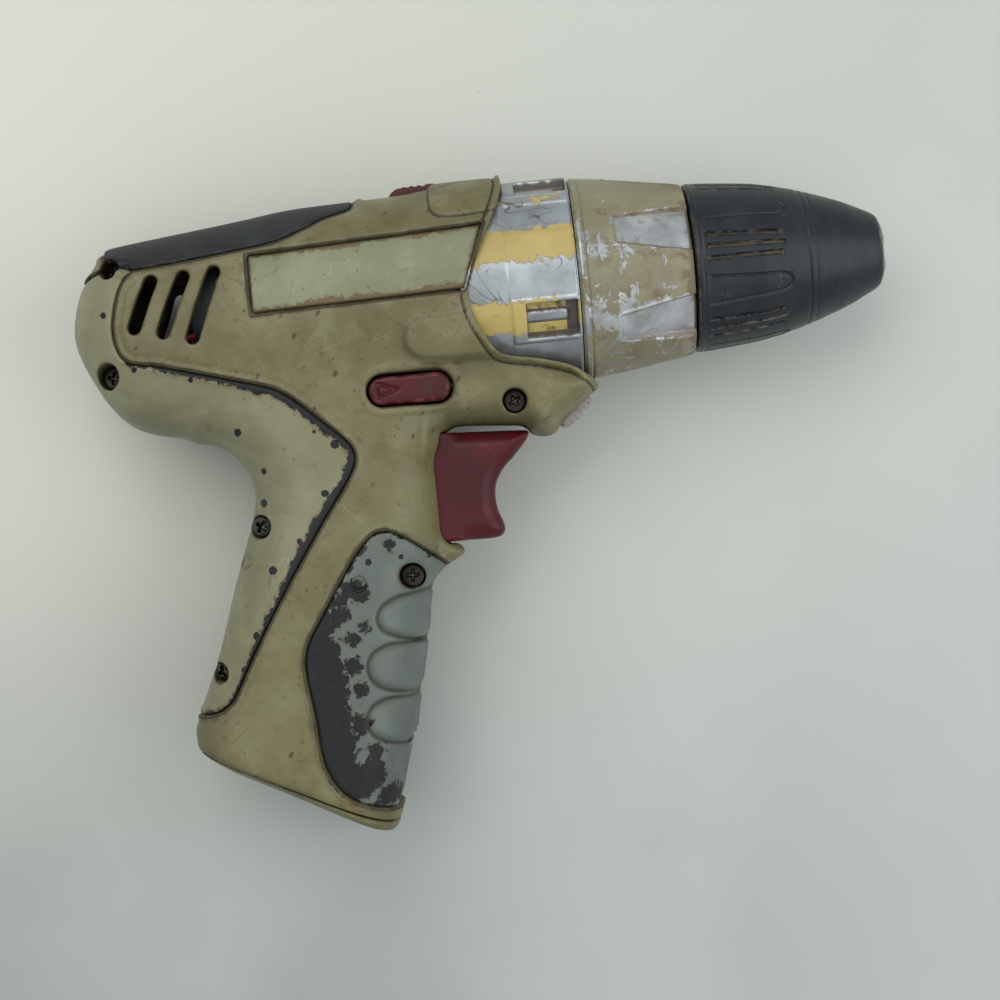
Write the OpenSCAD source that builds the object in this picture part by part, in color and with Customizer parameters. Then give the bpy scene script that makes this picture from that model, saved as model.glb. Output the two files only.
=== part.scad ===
/* [Chuck] */
// Radius of the hole that takes the bit shank, jaws fully open
bit_r = 5.3; // [4.9:0.1:5.4]
// Length of the round mouth that guides a bit in front of the jaws (mm)
mouth_l = 9; // [7:0.5:9.5]
// Outer radius of the chuck sleeve at its rear end
sleeve_r = 20; // [19.6:0.1:20.4]
// Radius of each chuck jaw
jaw_r = 2.8; // [2.6:0.1:2.8]

/* [Torque ring] */
// Radius of the torque ring at its rear rim
ring_rear_r = 24; // [23.4:0.1:24]
// Radius of the torque ring at its front rim
ring_front_r = 20.6; // [20.4:0.1:21]
// Number of finger recesses around the torque ring
ring_recesses = 6; // [4:1:8]

/* [Gearbox] */
// Gear module of both planetary stages
gear_m = 0.7; // [0.69:0.005:0.7]
// Backlash as a share of the tooth pitch
backlash = 0.16; // [0.12:0.02:0.2]
// Radius of the visible gear case nose
nose_r = 23.2; // [22.9:0.1:23.2]

/* [Motor] */
// Outer radius of the motor can
motor_r = 17.5; // [16.5:0.1:17.5]

/* [Housing] */
// Half width of the barrel across the seam
barrel_w = 25; // [24.6:0.1:25.4]
// Half width of the handle across the seam
grip_w = 21.5; // [21:0.1:22]
// Half width of the foot across the seam
foot_w = 24.4; // [24:0.1:24.6]
// Wall thickness of the two housing halves
wall = 2.4; // [2.2:0.1:2.6]
// Thickness of the grip and label overlays
skin = 1; // [0.9:0.1:1.1]

/* [Trigger] */
// Half width of the trigger
trigger_w = 8.5; // [7.5:0.5:9]

/* [Battery] */
// Radius of one battery cell
cell_r = 8.5; // [8:0.1:8.5]
// Length of one battery cell
cell_l = 41; // [38:1:41]

/* [Hidden] */
$fn = 64;
olive = [0.47, 0.45, 0.33];
hump_c = [0.52, 0.51, 0.40];
grip_c = [0.42, 0.45, 0.44];
black = [0.15, 0.16, 0.17];
wine = [0.40, 0.12, 0.15];
steel = [0.66, 0.67, 0.68];
brass = [0.72, 0.58, 0.30];

// --- general helpers -------------------------------------------------
// turn the local Z axis onto the chuck axis, +X
module ax(x = 0) { translate([x, 0, 0]) rotate([0, 90, 0]) children(); }
module rod(x0, x1, r) { ax(x0) cylinder(h = x1 - x0, r = r); }
module pipe(x0, x1, ro, ri) {
  difference() { rod(x0, x1, ro); rod(x0 - 1, x1 + 1, ri); }
}
// solid of revolution about the chuck axis, points given as [x, radius]
module rev(p) { ax() rotate_extrude($fn = 96) polygon([for (q = p) [q[1], q[0]]]); }
// flat plate between two heights
module plate(p, z0, z1) { translate([0, 0, z0]) linear_extrude(z1 - z0) polygon(p); }
module zrod(x, y, z0, z1, r) { translate([x, y, z0]) cylinder(h = z1 - z0, r = r); }

// round wire swept along a path of points
function unit(v) = v / norm(v);
function tang(p, i) = unit(p[min(i + 1, len(p) - 1)] - p[max(i - 1, 0)]);
module wire(p, r, n = 6) {
  k = len(p);
  pts = [for (i = [0:k - 1]) let (t = tang(p, i),
      u = unit(cross(t, abs(t[2]) > 0.8 ? [0, 1, 0] : [0, 0, 1])), v = cross(t, u))
      for (j = [0:n - 1]) p[i] + r * cos(360 * j / n) * u + r * sin(360 * j / n) * v];
  polyhedron(pts, concat([[for (j = [0:n - 1]) j]],
    [for (i = [0:k - 2]) for (j = [0:n - 1]) let (a = i * n + j, b = i * n + (j + 1) % n)
      [a, a + n, b + n, b]],
    [[for (j = [0:n - 1]) (k - 1) * n + n - 1 - j]]), convexity = 6);
}
module coil(x0, x1, r, w, turns, y = 0, per = 20) {
  wire([for (i = [0:turns * per]) let (a = 360 * i / per)
    [x0 + (x1 - x0) * i / (turns * per), y + r * sin(a), -r * cos(a)]], w);
}

// --- gear teeth ------------------------------------------------------
press_a = 25;
sun_n = 12; planet_n = 15; ring_n = 42;
orbit = gear_m * (sun_n + planet_n) / 2;
function inv(a) = tan(a) * 180 / PI - a;
function half(n, r, bl) = let (rp = gear_m * n / 2, rb = rp * cos(press_a))
  90 / n * (1 - bl) + inv(press_a) - inv(acos(min(1, rb / max(r, rb))));
module teeth(n, r0, r1, bl) {
  rb = gear_m * n / 2 * cos(press_a);
  rs = [r0, max(r0, rb), (max(r0, rb) + 2 * r1) / 3, r1];
  up = r0 < rb - 0.01 ? rs : [rs[1], rs[2], rs[3]];
  m = len(up);
  polygon([for (i = [0:n - 1]) each concat(
    [for (j = [0:m - 1]) let (a = 360 * i / n - half(n, up[j], bl)) up[j] * [cos(a), sin(a)]],
    [for (j = [m - 1:-1:0]) let (a = 360 * i / n + half(n, up[j], bl)) up[j] * [cos(a), sin(a)]])]);
}
module sun_teeth(x0, x1) {
  ax(x0) linear_extrude(x1 - x0) teeth(sun_n, gear_m * (sun_n / 2 - 1.25), gear_m * (sun_n / 2 + 0.85), backlash);
}
module planet(phi, x0, x1) {
  ax(x0) rotate([0, 0, phi]) translate([orbit, 0, 0])
    rotate([0, 0, 180 + (phi * sun_n / 360 + 0.5) * 360 / planet_n])
    linear_extrude(x1 - x0) difference() {
      teeth(planet_n, gear_m * (planet_n / 2 - 1.25), gear_m * (planet_n / 2 + 0.85), backlash);
      circle(r = 1.7, $fn = 32);
    }
}
module ring_teeth(x0, x1) {
  ax(x0) linear_extrude(x1 - x0)
    teeth(ring_n, gear_m * (ring_n / 2 - 0.72), gear_m * (ring_n / 2 + 1.25), -backlash);
}
module pins(x0, x1, r) {
  for (p = [0, 120, 240]) ax(x0) rotate([0, 0, p]) translate([orbit, 0, 0]) cylinder(h = x1 - x0, r = r, $fn = 32);
}

// --- outline of the body, seen from its right side ------------------
barrel_p = [[-70, 24.7], [-103, 25], [-124, 23.2], [-149, 21.4], [-158, 8], [-158, -14], [-150, -24], [-112, -25], [-70, -25]];
hump_p = [[-128, 6], [-149.8, 21.1], [-170, 19], [-180, 18.2], [-183.2, 16.2], [-186.7, 12],
  [-190, 6.3], [-192, -0.8], [-191.5, -6], [-189.2, -12.3], [-185.4, -19.4], [-181, -24.5],
  [-175.8, -27], [-169.4, -28.3], [-128, -20]];
neck_p = [[-167, -10], [-159.5, -32], [-153.4, -44], [-109.5, -44], [-102, -10], [-112, 5], [-150, 5]];
waist_p = [[-153.3, -18], [-153.3, -66], [-150, -72], [-116, -72], [-110, -64], [-109.5, -58], [-109.5, -18]];
arm_p = [[-153.2, -43], [-153.4, -46], [-155.3, -52], [-161, -67.5], [-165, -79], [-170, -91], [-168, -96], [-120, -96], [-117.6, -86],
  [-114.9, -72.6], [-110.4, -64.6], [-109.5, -56], [-109.5, -43]];
foot_p = [[-156, -54], [-161, -67.5], [-165, -79], [-171.5, -94.4], [-172.6, -98.2], [-172, -101.4], [-169.4, -104.2],
  [-160.4, -109.7], [-140, -120.6], [-133.5, -123.5], [-129, -124.9], [-127, -124.6], [-125.8, -123],
  [-121.7, -106], [-117.4, -85.4], [-114.9, -72.6], [-110.6, -64.6], [-109.7, -54]];
beak_p = [[-114, -56], [-109.5, -56], [-105.5, -60.6], [-106.2, -62.4], [-112, -66]];
chin_p = [[-112, -12], [-72, -20], [-70.2, -23.2], [-71, -26.4], [-78.8, -33.2], [-81.5, -35.9], [-86.9, -35.2],
  [-88.5, -33], [-104, -32], [-109.5, -34], [-112, -34]];
front_cut = [[-88.7, 32], [-88.7, 21], [-90.5, 16], [-93.5, 10], [-96.4, 3], [-98.4, -4.4], [-97.4, -9],
  [-95, -14], [-93, -17], [-85, -18.5], [-80, -19.7], [-76, -21], [-71.5, -24.2], [-60, -24.2], [-60, 32]];
rear_grip_p = [[-175, 9.5], [-177, 6], [-179.2, -2], [-178.5, -9], [-177, -11], [-170, -12.5], [-150, -18.5],
  [-141, -22], [-130, -32.5], [-127.5, -37.5], [-132, -45.5], [-145, -64], [-155, -80], [-161, -90.5],
  [-168, -93.3], [-174, -92], [-160, -50], [-175, -34], [-196, -20], [-196, 12]];
front_grip_p = [[-104, -67.5], [-110.6, -64.3], [-113, -60.6], [-119, -56], [-122, -54.7], [-128, -57.5], [-135, -67], [-142.5, -78],
  [-143.7, -84], [-142, -103], [-141, -108], [-136, -115], [-131, -117.5], [-122, -119.8], [-112, -90]];
top_pad_p = [[-124.5, 30], [-124.5, 19.6], [-130, 18], [-140, 13.5], [-150, 12], [-170, 10], [-175, 9.8], [-180, 14], [-181, 30]];
label_p = [[-147.8, 10.5], [-93.5, 12.5], [-99, -2.2], [-147.5, -3.2]];
cap_line = [[-172, -100.5], [-125, -123.3]];

slices = [[0.06, 0], [0.5, 0.12], [0.75, 0.35], [0.9, 0.62], [1, 1]];
// crowned solid over a convex outline: half width w, edge rounding e, pulled in all over by t
module form(p, w, e, t) {
  hull() for (s = slices) for (k = [-1, 1])
    translate([0, 0, k * s[0] * (w - t) - (k > 0 ? 0.2 : 0)]) linear_extrude(0.2)
      offset(delta = -t - s[1] * e) polygon(p);
}
module body_form(t) {
  form(barrel_p, barrel_w, 19, t);
  form(hump_p, barrel_w - 0.6, 18, t);
  form(neck_p, grip_w, 13, t);
  form(waist_p, grip_w, 13, t);
  form(arm_p, grip_w, 13, t);
  form(foot_p, grip_w + 0.3, 12.4, t);
  form(chin_p, 16.5, 7, t);
  form(beak_p, 10.4, 2.2, t > 2 ? 2 : t);
}
screw_xy = [[-90, -28.2], [-117.7, -65.7], [-151.3, -51.2], [-163.6, -84], [-182.2, -13.3], [-180, 10.4]];
screw_seat = [9, 13, 14, 9, 11, 9];
vents = [[-174.5, -3.5, -170, 6.5], [-168, -5, -162.5, 7], [-161.5, -7, -155.5, 7.5]];

// half space on the battery side of the foot parting line
module below_cap(g, d = 60) {
  a = atan2(cap_line[1][1] - cap_line[0][1], cap_line[1][0] - cap_line[0][0]);
  translate([cap_line[0][0], cap_line[0][1], 0]) rotate([0, 0, a]) translate([-40, -d - g, -40]) cube([140, d, 80]);
}
// frame of the battery: local X points to the front of the grip, local Z down the handle
module batt(t = 0) {
  translate([-136.5, -66, 0]) rotate([0, 0, -16.26]) rotate([90, 0, 0]) translate([0, 0, t]) children();
}
module batt_prism(g, l) {
  a = 17.4 + g; b = 18.6 + g; c = 5.8;
  batt(-g) linear_extrude(l) polygon([[a, b - c], [a - c, b], [c - a, b], [-a, b - c], [-a, c - b], [c - a, -b], [a - c, -b], [a, c - b]]);
}
module slot_xy(v, r, z0, z1) {
  for (k = [0]) hull() { zrod(v[0], v[1], z0, z1, r, $fn = 16); zrod(v[2], v[3], z0, z1, r, $fn = 16); }
}
module shell_half(side) {
  color(olive) difference() {
    union() {
      difference() { body_form(0); body_form(wall); }
      intersection() {
        body_form(1.2);
        union() {
          for (i = [0:5]) zrod(screw_xy[i][0], screw_xy[i][1], -30, 30, 3.6, $fn = 20);
          for (x = [-152, -124]) difference() {
            translate([x, -27, -30]) cube([2.4, 60, 60]);
            rod(x - 1, x + 4, motor_r + 0.1, $fn = 48);
            // the two motor leads pass the rib
            for (k = [-1, 1]) translate([x - 1, -25.6, k * 9 - 2.9]) cube([5, 6.4, 5.8]);
          }
        }
      }
    }
    translate([-220, -150, side > 0 ? -60 : 0]) cube([200, 200, 60]);
    plate(front_cut, -40, 40);
    rod(-101, -88, nose_r + 0.3, $fn = 48);
    rod(-88.3, -60, 24.8, $fn = 48);
    below_cap(0);
    batt_prism(0.4, 70);
    for (v = vents) slot_xy(v, 1.5, -40, 40);
    // openings: selector slot, trigger mouth, direction slots, light seat, release window
    translate([-121.2, 15, -4.6]) cube([18.6, 20, 9.2]);
    plate([[-121, -33.2], [-107, -33.2], [-87.4, -34.3], [-87.4, -38], [-104, -40], [-104, -59.5], [-121, -59.5]], -trigger_w - 0.4, trigger_w + 0.4);
    slot_xy([-120.3, -23, -107.7, -23], 3.8, -40, 40);
    plate([[-80.6, -34], [-80.1, -33.1], [-73.3, -27.1], [-70, -29], [-78, -38]], -4.5, 4.5);
    plate([[-82.5, -31], [-79.6, -26.8], [-70, -30.5], [-74, -35]], -2.6, 2.6);
    plate([[-115, -103.5], [-125.3, -103.2], [-129.3, -118], [-118, -121]], -8.4, 8.4);
    for (i = [0:5]) {
      zrod(screw_xy[i][0], screw_xy[i][1], -7.8, 40, 1.55, $fn = 20);
      zrod(screw_xy[i][0], screw_xy[i][1], screw_seat[i], 40, 2.9, $fn = 24);
    }
    // seats for the overlays
    difference() {
      union() {
        plate(rear_grip_p, -40, 40);
        plate(front_grip_p, -40, 40);
        plate(top_pad_p, -40, 40);
        plate(label_p, -40, 40);
      }
      body_form(skin + 0.05);
      translate([-220, -150, -2]) cube([200, 200, 4]);
    }
  }
}
module overlay(p, side, c) {
  color(c) difference() {
    intersection() {
      body_form(0);
      union() for (k = [0]) linear_extrude(60, center = true) offset(delta = -0.1) polygon(p);
      translate([-220, -150, side > 0 ? 2.1 : -42.1]) cube([200, 200, 40]);
    }
    body_form(skin);
    below_cap(-0.4);
    if (side > 0) for (i = [0:5]) zrod(screw_xy[i][0], screw_xy[i][1], 0, 40, 3.1, $fn = 20);
    for (v = vents) slot_xy(v, 1.7, -40, 40);
    plate([[-113, -102], [-125.5, -102.8], [-129.6, -118], [-118, -123]], -9, 9);
    slot_xy([-120.3, -23, -107.7, -23], 4, -40, 40);
  }
}
module right_housing() { shell_half(1); }
module left_housing() { shell_half(-1); }
module rear_grip_right() { overlay(rear_grip_p, 1, hump_c); }
module rear_grip_left() { overlay(rear_grip_p, -1, hump_c); }
module front_grip_right() { overlay(front_grip_p, 1, grip_c); }
module front_grip_left() { overlay(front_grip_p, -1, grip_c); }
module top_pad_right() { overlay(top_pad_p, 1, black); }
module top_pad_left() { overlay(top_pad_p, -1, black); }
module label_right() { overlay(label_p, 1, [0.53, 0.55, 0.46]); }
module label_left() { overlay(label_p, -1, [0.53, 0.55, 0.46]); }

module housing_screws() {
  color(black) for (i = [0:5]) translate([screw_xy[i][0], screw_xy[i][1], 0]) difference() {
    union() {
      translate([0, 0, -7.5]) cylinder(h = 7.5 + screw_seat[i], r = 1.5);
      translate([0, 0, screw_seat[i]]) cylinder(h = 2.2, r = 2.7);
    }
    for (a = [0, 90]) rotate([0, 0, a]) translate([-1.6, -0.35, screw_seat[i] + 1]) cube([3.2, 0.7, 2]);
  }
}

// --- gearbox ---------------------------------------------------------
module gear_case() {
  color([0.70, 0.64, 0.37]) difference() {
    union() {
      rev([[-101.6, 18.2], [-101.6, 20.2], [-76, 20.2], [-76, nose_r - 1.2], [-100, nose_r - 1.2], [-100, nose_r],
        [-73.2, nose_r], [-73.2, 14], [-48.2, 14], [-48.2, 13.3], [-46.9, 13.3], [-46.9, 14], [-46.6, 14],
        [-46.6, 11], [-58, 11], [-58, 6.6], [-76, 6.6], [-76, 18.2]]);
      for (a = [0:90:270]) ax(-87.6) rotate([0, 0, a - 37]) rotate_extrude(angle = 44)
        translate([nose_r - 0.6, 0]) square([1.9, 13]);
    }
    for (a = [0:60:300]) ax(-80) rotate([0, 0, a]) translate([16.1, 0, 0]) cylinder(h = 10, r = 1.95, $fn = 32);
    for (k = [-1, 1]) translate([-89.6, -1.1, k > 0 ? 17 : -21]) cube([8, 2.2, 4]);
  }
}
module ring_gear() {
  color(steel) difference() { rod(-98, -91.7, 18.15); ring_teeth(-99, -91); }
}
module shift_ring() {
  color(steel) difference() {
    rod(-86.4, -79.4, 18);
    ring_teeth(-87, -79);
    pipe(-84.2, -81.8, 19, 17);
  }
}
module shift_fork() {
  color(steel) {
    ax(-83.7) rotate_extrude(angle = 180) translate([20.5, 0]) square([1.4, 1.4]);
    for (k = [-1, 1]) translate([-83.7, -0.6, k > 0 ? 17.3 : -21.9]) cube([1.4, 0.7, 4.6]);
    translate([-104, 20.5, -0.7]) cube([21, 1.35, 1.4]);
  }
}
module gear_selector() {
  color(wine) difference() {
    union() {
      translate([-116.4, 19.3, -5.1]) cube([10.4, 0.9, 10.2]);
      plate([[-115.4, 20], [-115.4, 23.4], [-112.3, 25.6], [-104.3, 25.8], [-103.3, 24.9], [-103.3, 20]], -4.2, 4.2);
    }
    translate([-104.1, 20.4, -0.8]) cube([4, 1.55, 1.6]);
    for (x = [-111.5, -109.5, -107.5]) translate([x, 25.2, -5]) cube([0.8, 2, 10]);
  }
}
module clutch_pins() {
  color(steel) for (a = [0:60:300]) ax(-79.1) rotate([0, 0, a]) translate([16.1, 0, 0]) cylinder(h = 6.5, r = 1.85, $fn = 32);
}
module clutch_washer() { color(steel) pipe(-72.6, -71.6, 18.1, 14.2); }
module clutch_spring() { color(steel) coil(-70.7, -58.9, 16.2, 0.8, 4); }
module clutch_nut() {
  color(brass) {
    pipe(-58, -52.6, 18, 14.3);
    for (a = [0, 120, 240]) rotate([a, 0, 0]) translate([-58, -2, 17]) cube([5.4, 4, 2]);
  }
}
module torque_ring() {
  color([0.55, 0.54, 0.45]) difference() {
    rev([[-73, 15], [-73, ring_rear_r - 0.6], [-72.4, ring_rear_r], [-47.2, ring_front_r], [-46.6, ring_front_r - 0.6], [-46.6, 15]]);
    rod(-74, -51, 18.4);
    rod(-52, -46, 14.4);
    rod(-48.3, -46, 17);
    for (a = [0, 120, 240]) rotate([a, 0, 0]) translate([-74, -2.3, 16]) cube([23, 4.6, 3.3]);
    for (i = [0:ring_recesses - 1]) rotate([-38 + 360 * i / ring_recesses, 0, 0])
      translate([-64, 0, 21.8]) rotate([0, -atan2(ring_rear_r - ring_front_r, 26.5) * -1, 0])
      linear_extrude(5) polygon([[0, -3.4], [20, -5.6], [20, 5.6], [0, 3.4]]);
  }
}
module ring_clip() { color(steel) difference() { pipe(-48.1, -47, 16.5, 13.4); translate([-49, -2, -17]) cube([3, 4, 8]); } }
module spindle_bearing() { color(steel) pipe(-56.5, -50, 11, 6.05); }
module spindle() {
  color(steel) difference() {
    union() {
      rev([[-79.3, 0], [-79.3, 12.5], [-76.6, 12.5], [-76.6, 7], [-76.1, 6.4], [-76.1, 5.6], [-57, 5.6], [-57, 6], [-46.2, 6], [-46.2, 6.3], [-36.6, 6.3], [-36.6, 0]]);
      pins(-86.3, -79, 1.5);
    }
    rod(-55, -36, 2.55);
  }
}
module planet_2(p) { color(steel) planet(p, -86.1, -79.6); }
module planet_2a() { planet_2(0); }
module planet_2b() { planet_2(120); }
module planet_2c() { planet_2(240); }
module stage_carrier() {
  color(steel) { rod(-89.3, -86.7, 12.5); sun_teeth(-86.8, -79.7); pins(-96.4, -89, 1.5); }
}
module planet_1(p) { color(steel) planet(p, -96.2, -89.6); }
module planet_1a() { planet_1(0); }
module planet_1b() { planet_1(120); }
module planet_1c() { planet_1(240); }

// --- motor -----------------------------------------------------------
module motor_pinion() { color(steel) difference() { sun_teeth(-97.5, -89.7); rod(-98, -89, 1.6); } }
module motor_plate() {
  color(steel) {
    difference() {
      rod(-101.5, -98.3, 18.1);
      rod(-102, -98, 6.5);
      for (k = [-1, 1]) ax(-102) translate([0, k * 12, 0]) cylinder(h = 5, r = 1.6, $fn = 32);
    }
    for (k = [-1, 1]) ax(-104.4) translate([0, k * 12, 0]) { cylinder(h = 6.1, r = 1.4, $fn = 32); translate([0, 0, 5.6]) cylinder(h = 0.5, r = 1.5, $fn = 32); }
  }
}
module motor_can() {
  color([0.45, 0.46, 0.47]) difference() {
    rod(-156, -101.6, motor_r);
    rod(-157, -103.2, motor_r - 1.5);
    rod(-104, -101, 5);
    for (k = [-1, 1]) ax(-104.5) translate([0, k * 12, 0]) cylinder(h = 5, r = 1.5, $fn = 32);
    for (a = [45:90:315]) rotate([a, 0, 0]) translate([-112, -3, 14]) cube([6, 6, 6]);
  }
}
module motor_magnets() {
  color(black) for (a = [-60, 120]) ax(-150) rotate([0, 0, a]) rotate_extrude(angle = 120) translate([13, 0]) square([2.95, 35]);
}
module motor_end_cap() {
  color(black) difference() {
    union() { rod(-162, -156, motor_r); rod(-158, -154.5, motor_r - 1.55); rod(-164.5, -161, 6); }
    rod(-160, -154, motor_r - 3.5);
    rod(-170, -150, 3.6);
    for (a = [0:90:270]) rotate([a + 45, 0, 0]) translate([-163, -2, 7]) cube([5, 4, 5]);
  }
}
module motor_bearings() { color(brass) { pipe(-104.6, -101.7, 4.95, 1.65); pipe(-164, -160.5, 3.55, 1.65); } }
module motor_brushes() {
  color([0.3, 0.25, 0.2]) for (k = [-1, 1]) translate([-158.3, k > 0 ? 4.7 : -9.7, -2]) cube([5, 5, 4]);
}
module armature() {
  color([0.55, 0.35, 0.2]) {
    rod(-166, -89.9, 1.58);
    difference() {
      rod(-148, -118, 12.4);
      for (a = [0:60:300]) ax(-149) rotate([0, 0, a]) translate([8, -1.2, 0]) cube([6, 2.4, 32]);
    }
    rod(-158.5, -152, 4.5);
  }
}
module cooling_fan() {
  color(black) difference() {
    rod(-114.5, -106.5, 15);
    for (a = [0:30:330]) rotate([a, 0, 0]) translate([-113, -2.2, 5]) rotate([0, 0, 0]) cube([7, 3, 12]);
    rod(-116, -106, 1.6);
  }
}

// --- controls --------------------------------------------------------
module direction_button() {
  color(wine) difference() {
    union() {
      translate([-120.3, -26.4, -20.4]) cube([12.6, 6.8, 40.8]);
      for (x = [-120.3, -107.7]) zrod(x, -23, -20.4, 20.4, 3.4);
    }
    for (k = [-1, 1]) plate([[-120.5, -25], [-120.5, -21], [-116, -23]], k > 0 ? 20 : -21, k > 0 ? 21 : -20);
  }
}
trigger_p = [[-112.3, -34], [-107, -33.6], [-88, -34.7], [-88.6, -36], [-92.4, -39.9], [-96.3, -43.7], [-97.9, -47.6], [-97.9, -51.4],
  [-96.6, -55.3], [-96.5, -57.8], [-98.2, -59.2], [-112.3, -59.2]];
module trigger() {
  color(wine) {
    difference() {
      plate(trigger_p, -trigger_w, trigger_w);
      for (k = [-1, 1]) translate([-120, -46, k * (trigger_w + 6)]) rotate([0, 0, 0]) rotate([0, k * 62, 0]) translate([28, -30, -4]) cube([12, 60, 8]);
    }
    ax(-124.5) translate([0, -46, 0]) cylinder(h = 13, r = 2);
  }
}
module trigger_spring() { color(steel) coil(-121.5, -112.8, 3.1, 0.45, 5, -46, 14); }
module switch_body() {
  color(black) difference() {
    translate([-146, -57, -9]) cube([24, 20.5, 18]);
    ax(-136) translate([0, -46, 0]) cylinder(h = 20, r = 2.3);
  }
}
module work_light() { color([0.95, 0.95, 0.9]) translate([-80, -28.6, 0]) rotate([0, 0, -49]) rotate([0, 90, 0]) cylinder(h = 3.4, r = 1.8); }
module light_lens() { color([0.8, 0.84, 0.84]) plate([[-79.9, -33.6], [-73.3, -27.7], [-72.3, -28.4], [-79.1, -34.5]], -4.2, 4.2); }
module wires() {
  color(wine) for (k = [-1, 1]) {
    wire([[-138, -36.45, 4 * k], [-138, -34.9, 4 * k], [-140, -32, 5 * k], [-144, -27, 7 * k], [-150, -22.5, 9 * k], [-158, -20, 10 * k], [-164, -16, 10 * k], [-166.5, -11, 9 * k], [-166, -6, 8.5 * k], [-163.4, -5.5, 8.5 * k], [-162.05, -5.5, 8.5 * k]], 0.9, 8);
    wire([[-130, -57.05, 4 * k], [-130, -58.2, 4 * k], [-130.5, -59.4, 4.5 * k], [-131.5, -61, 5 * k], [-132, -62.4, 5 * k]], 0.9, 8);
  }
}
module battery_contacts() {
  color(brass) batt() {
    translate([-8, -12, -3.4]) cube([16, 24, 1.6]);
    for (k = [-1, 1]) translate([-4, k * 7 - 1.5, -2]) cube([8, 3, 1.6]);
  }
}

// --- battery ---------------------------------------------------------
module battery_case() {
  color(olive) union() {
    difference() {
      union() {
        difference() { batt_prism(0, 60); below_cap(0.6, 60); }
        intersection() { below_cap(0.25, 60); form(foot_p, grip_w + 0.3, 12.4, 0); }
      }
      intersection() { batt_prism(-1.1, 43.5); }
    }
  }
}
module battery_cells() {
  color([0.25, 0.3, 0.35]) batt(1.4) for (c = [[-7.2, 8.8], [-7.2, -8.8], [7.8, 0]]) translate([c[0], c[1], 0]) {
    cylinder(h = cell_l - 1, r = cell_r - 0.05);
    translate([0, 0, -0.0]) cylinder(h = cell_l - 0.3, r = 3);
  }
}
module battery_straps() {
  color(steel) {
    batt(cell_l + 1.15) linear_extrude(0.25) polygon([[-10, -11], [-4, -11], [-4, 11], [-10, 11]]);
    batt(cell_l + 1.45) linear_extrude(0.25) polygon([[-5, -2], [9, -2], [9, 2], [-5, 2]]);
  }
}
module release_button() {
  color(black) plate([[-121.9, -104.6], [-125.1, -104], [-129, -116.8], [-125.6, -117.4]], -8, 8);
}

// --- chuck -----------------------------------------------------------
jaw_tilt = 15;
jaw_tip_x = -18.5;
jaw_tip_r = 4.7;
// frame of one jaw: local Z along its own axis, origin on that axis at the open tip
module jaw_axis(a) {
  rotate([a, 0, 0]) translate([jaw_tip_x, 0, jaw_tip_r]) rotate([0, 90 + jaw_tilt, 0]) children();
}
jaw_a = [0, 120, 240];
module chuck_body() {
  color(steel) difference() {
    rev([[-46, 0], [-46, 14.6], [-33.9, 14.6], [-33.9, 11.7], [-28.1, 11.7], [-28.1, 14], [-20, 13.8], [-10, 10.3], [-5, 7.9], [-1.5, 6.5], [0, 6.1], [0, 0]]);
    rod(-mouth_l, 1, bit_r);
    rod(-34, -mouth_l + 0.5, bit_r + 0.2);
    rod(-47, -36.3, 6.35);
    rod(-37, -33, 2.6);
    for (a = jaw_a) jaw_axis(a) translate([0, 0, -30]) cylinder(h = 50, r = 3);
  }
}
module chuck_screw() {
  color(steel) difference() {
    union() { rod(-51, -34, 2.5); rod(-34, -31.6, 4.2); }
    for (a = [0, 90]) rotate([a, 0, 0]) translate([-32.8, -0.6, -2.6]) cube([2, 1.2, 5.2]);
  }
}
module chuck_nut() { color(steel) pipe(-33.6, -28.4, 15.4, 12.1); }
module chuck_sleeve() {
  color([0.20, 0.22, 0.25]) difference() {
    rev([[-46, 15], [-46, sleeve_r - 0.4], [-45, sleeve_r], [-40, 19.6], [-30, 18.6], [-25, 17.6], [-20, 16.3], [-15, 14.6], [-10, 12.6], [-5, 10],
      [-2.6, 8.2], [-1.7, 7.3], [-1.7, 6.9], [-5, 8.3], [-10, 10.8], [-20, 14.3], [-28.4, 14.4], [-28.4, 15.4], [-33.6, 15.4], [-33.6, 15]]);
    for (i = [0:5]) for (k = [-9, 0, 9]) rotate([60 * i + k, 0, 0])
      translate([-42.5, -0.5, 19.1]) rotate([0, 5.5, 0]) cube([18, 1, 4]);
  }
}
module jaw(a) {
  color(steel) difference() {
    intersection() {
      jaw_axis(a) translate([0, 0, -26]) cylinder(h = 26, r = jaw_r);
      // flanks at 120 degrees, so that the three closed jaws meet without crossing
      rotate([a, 0, 0]) translate([-60, 0, 0]) rotate([90, 0, 90]) linear_extrude(60)
        polygon([[-0.7, bit_r], [0.7, bit_r], [26, 20], [26, 30], [-26, 30], [-26, 20]]);
    }
    // inner gripping face parallel to the chuck axis, and the tip square to it
    rotate([a, 0, 0]) translate([-60, -5, -5]) cube([60, 10, 5 + bit_r + 0.01]);
    rotate([a, 0, 0]) translate([jaw_tip_x, -5, 0]) cube([8, 10, 14]);
  }
}
module jaw_1() { jaw(0); }
module jaw_2() { jaw(120); }
module jaw_3() { jaw(240); }

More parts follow.
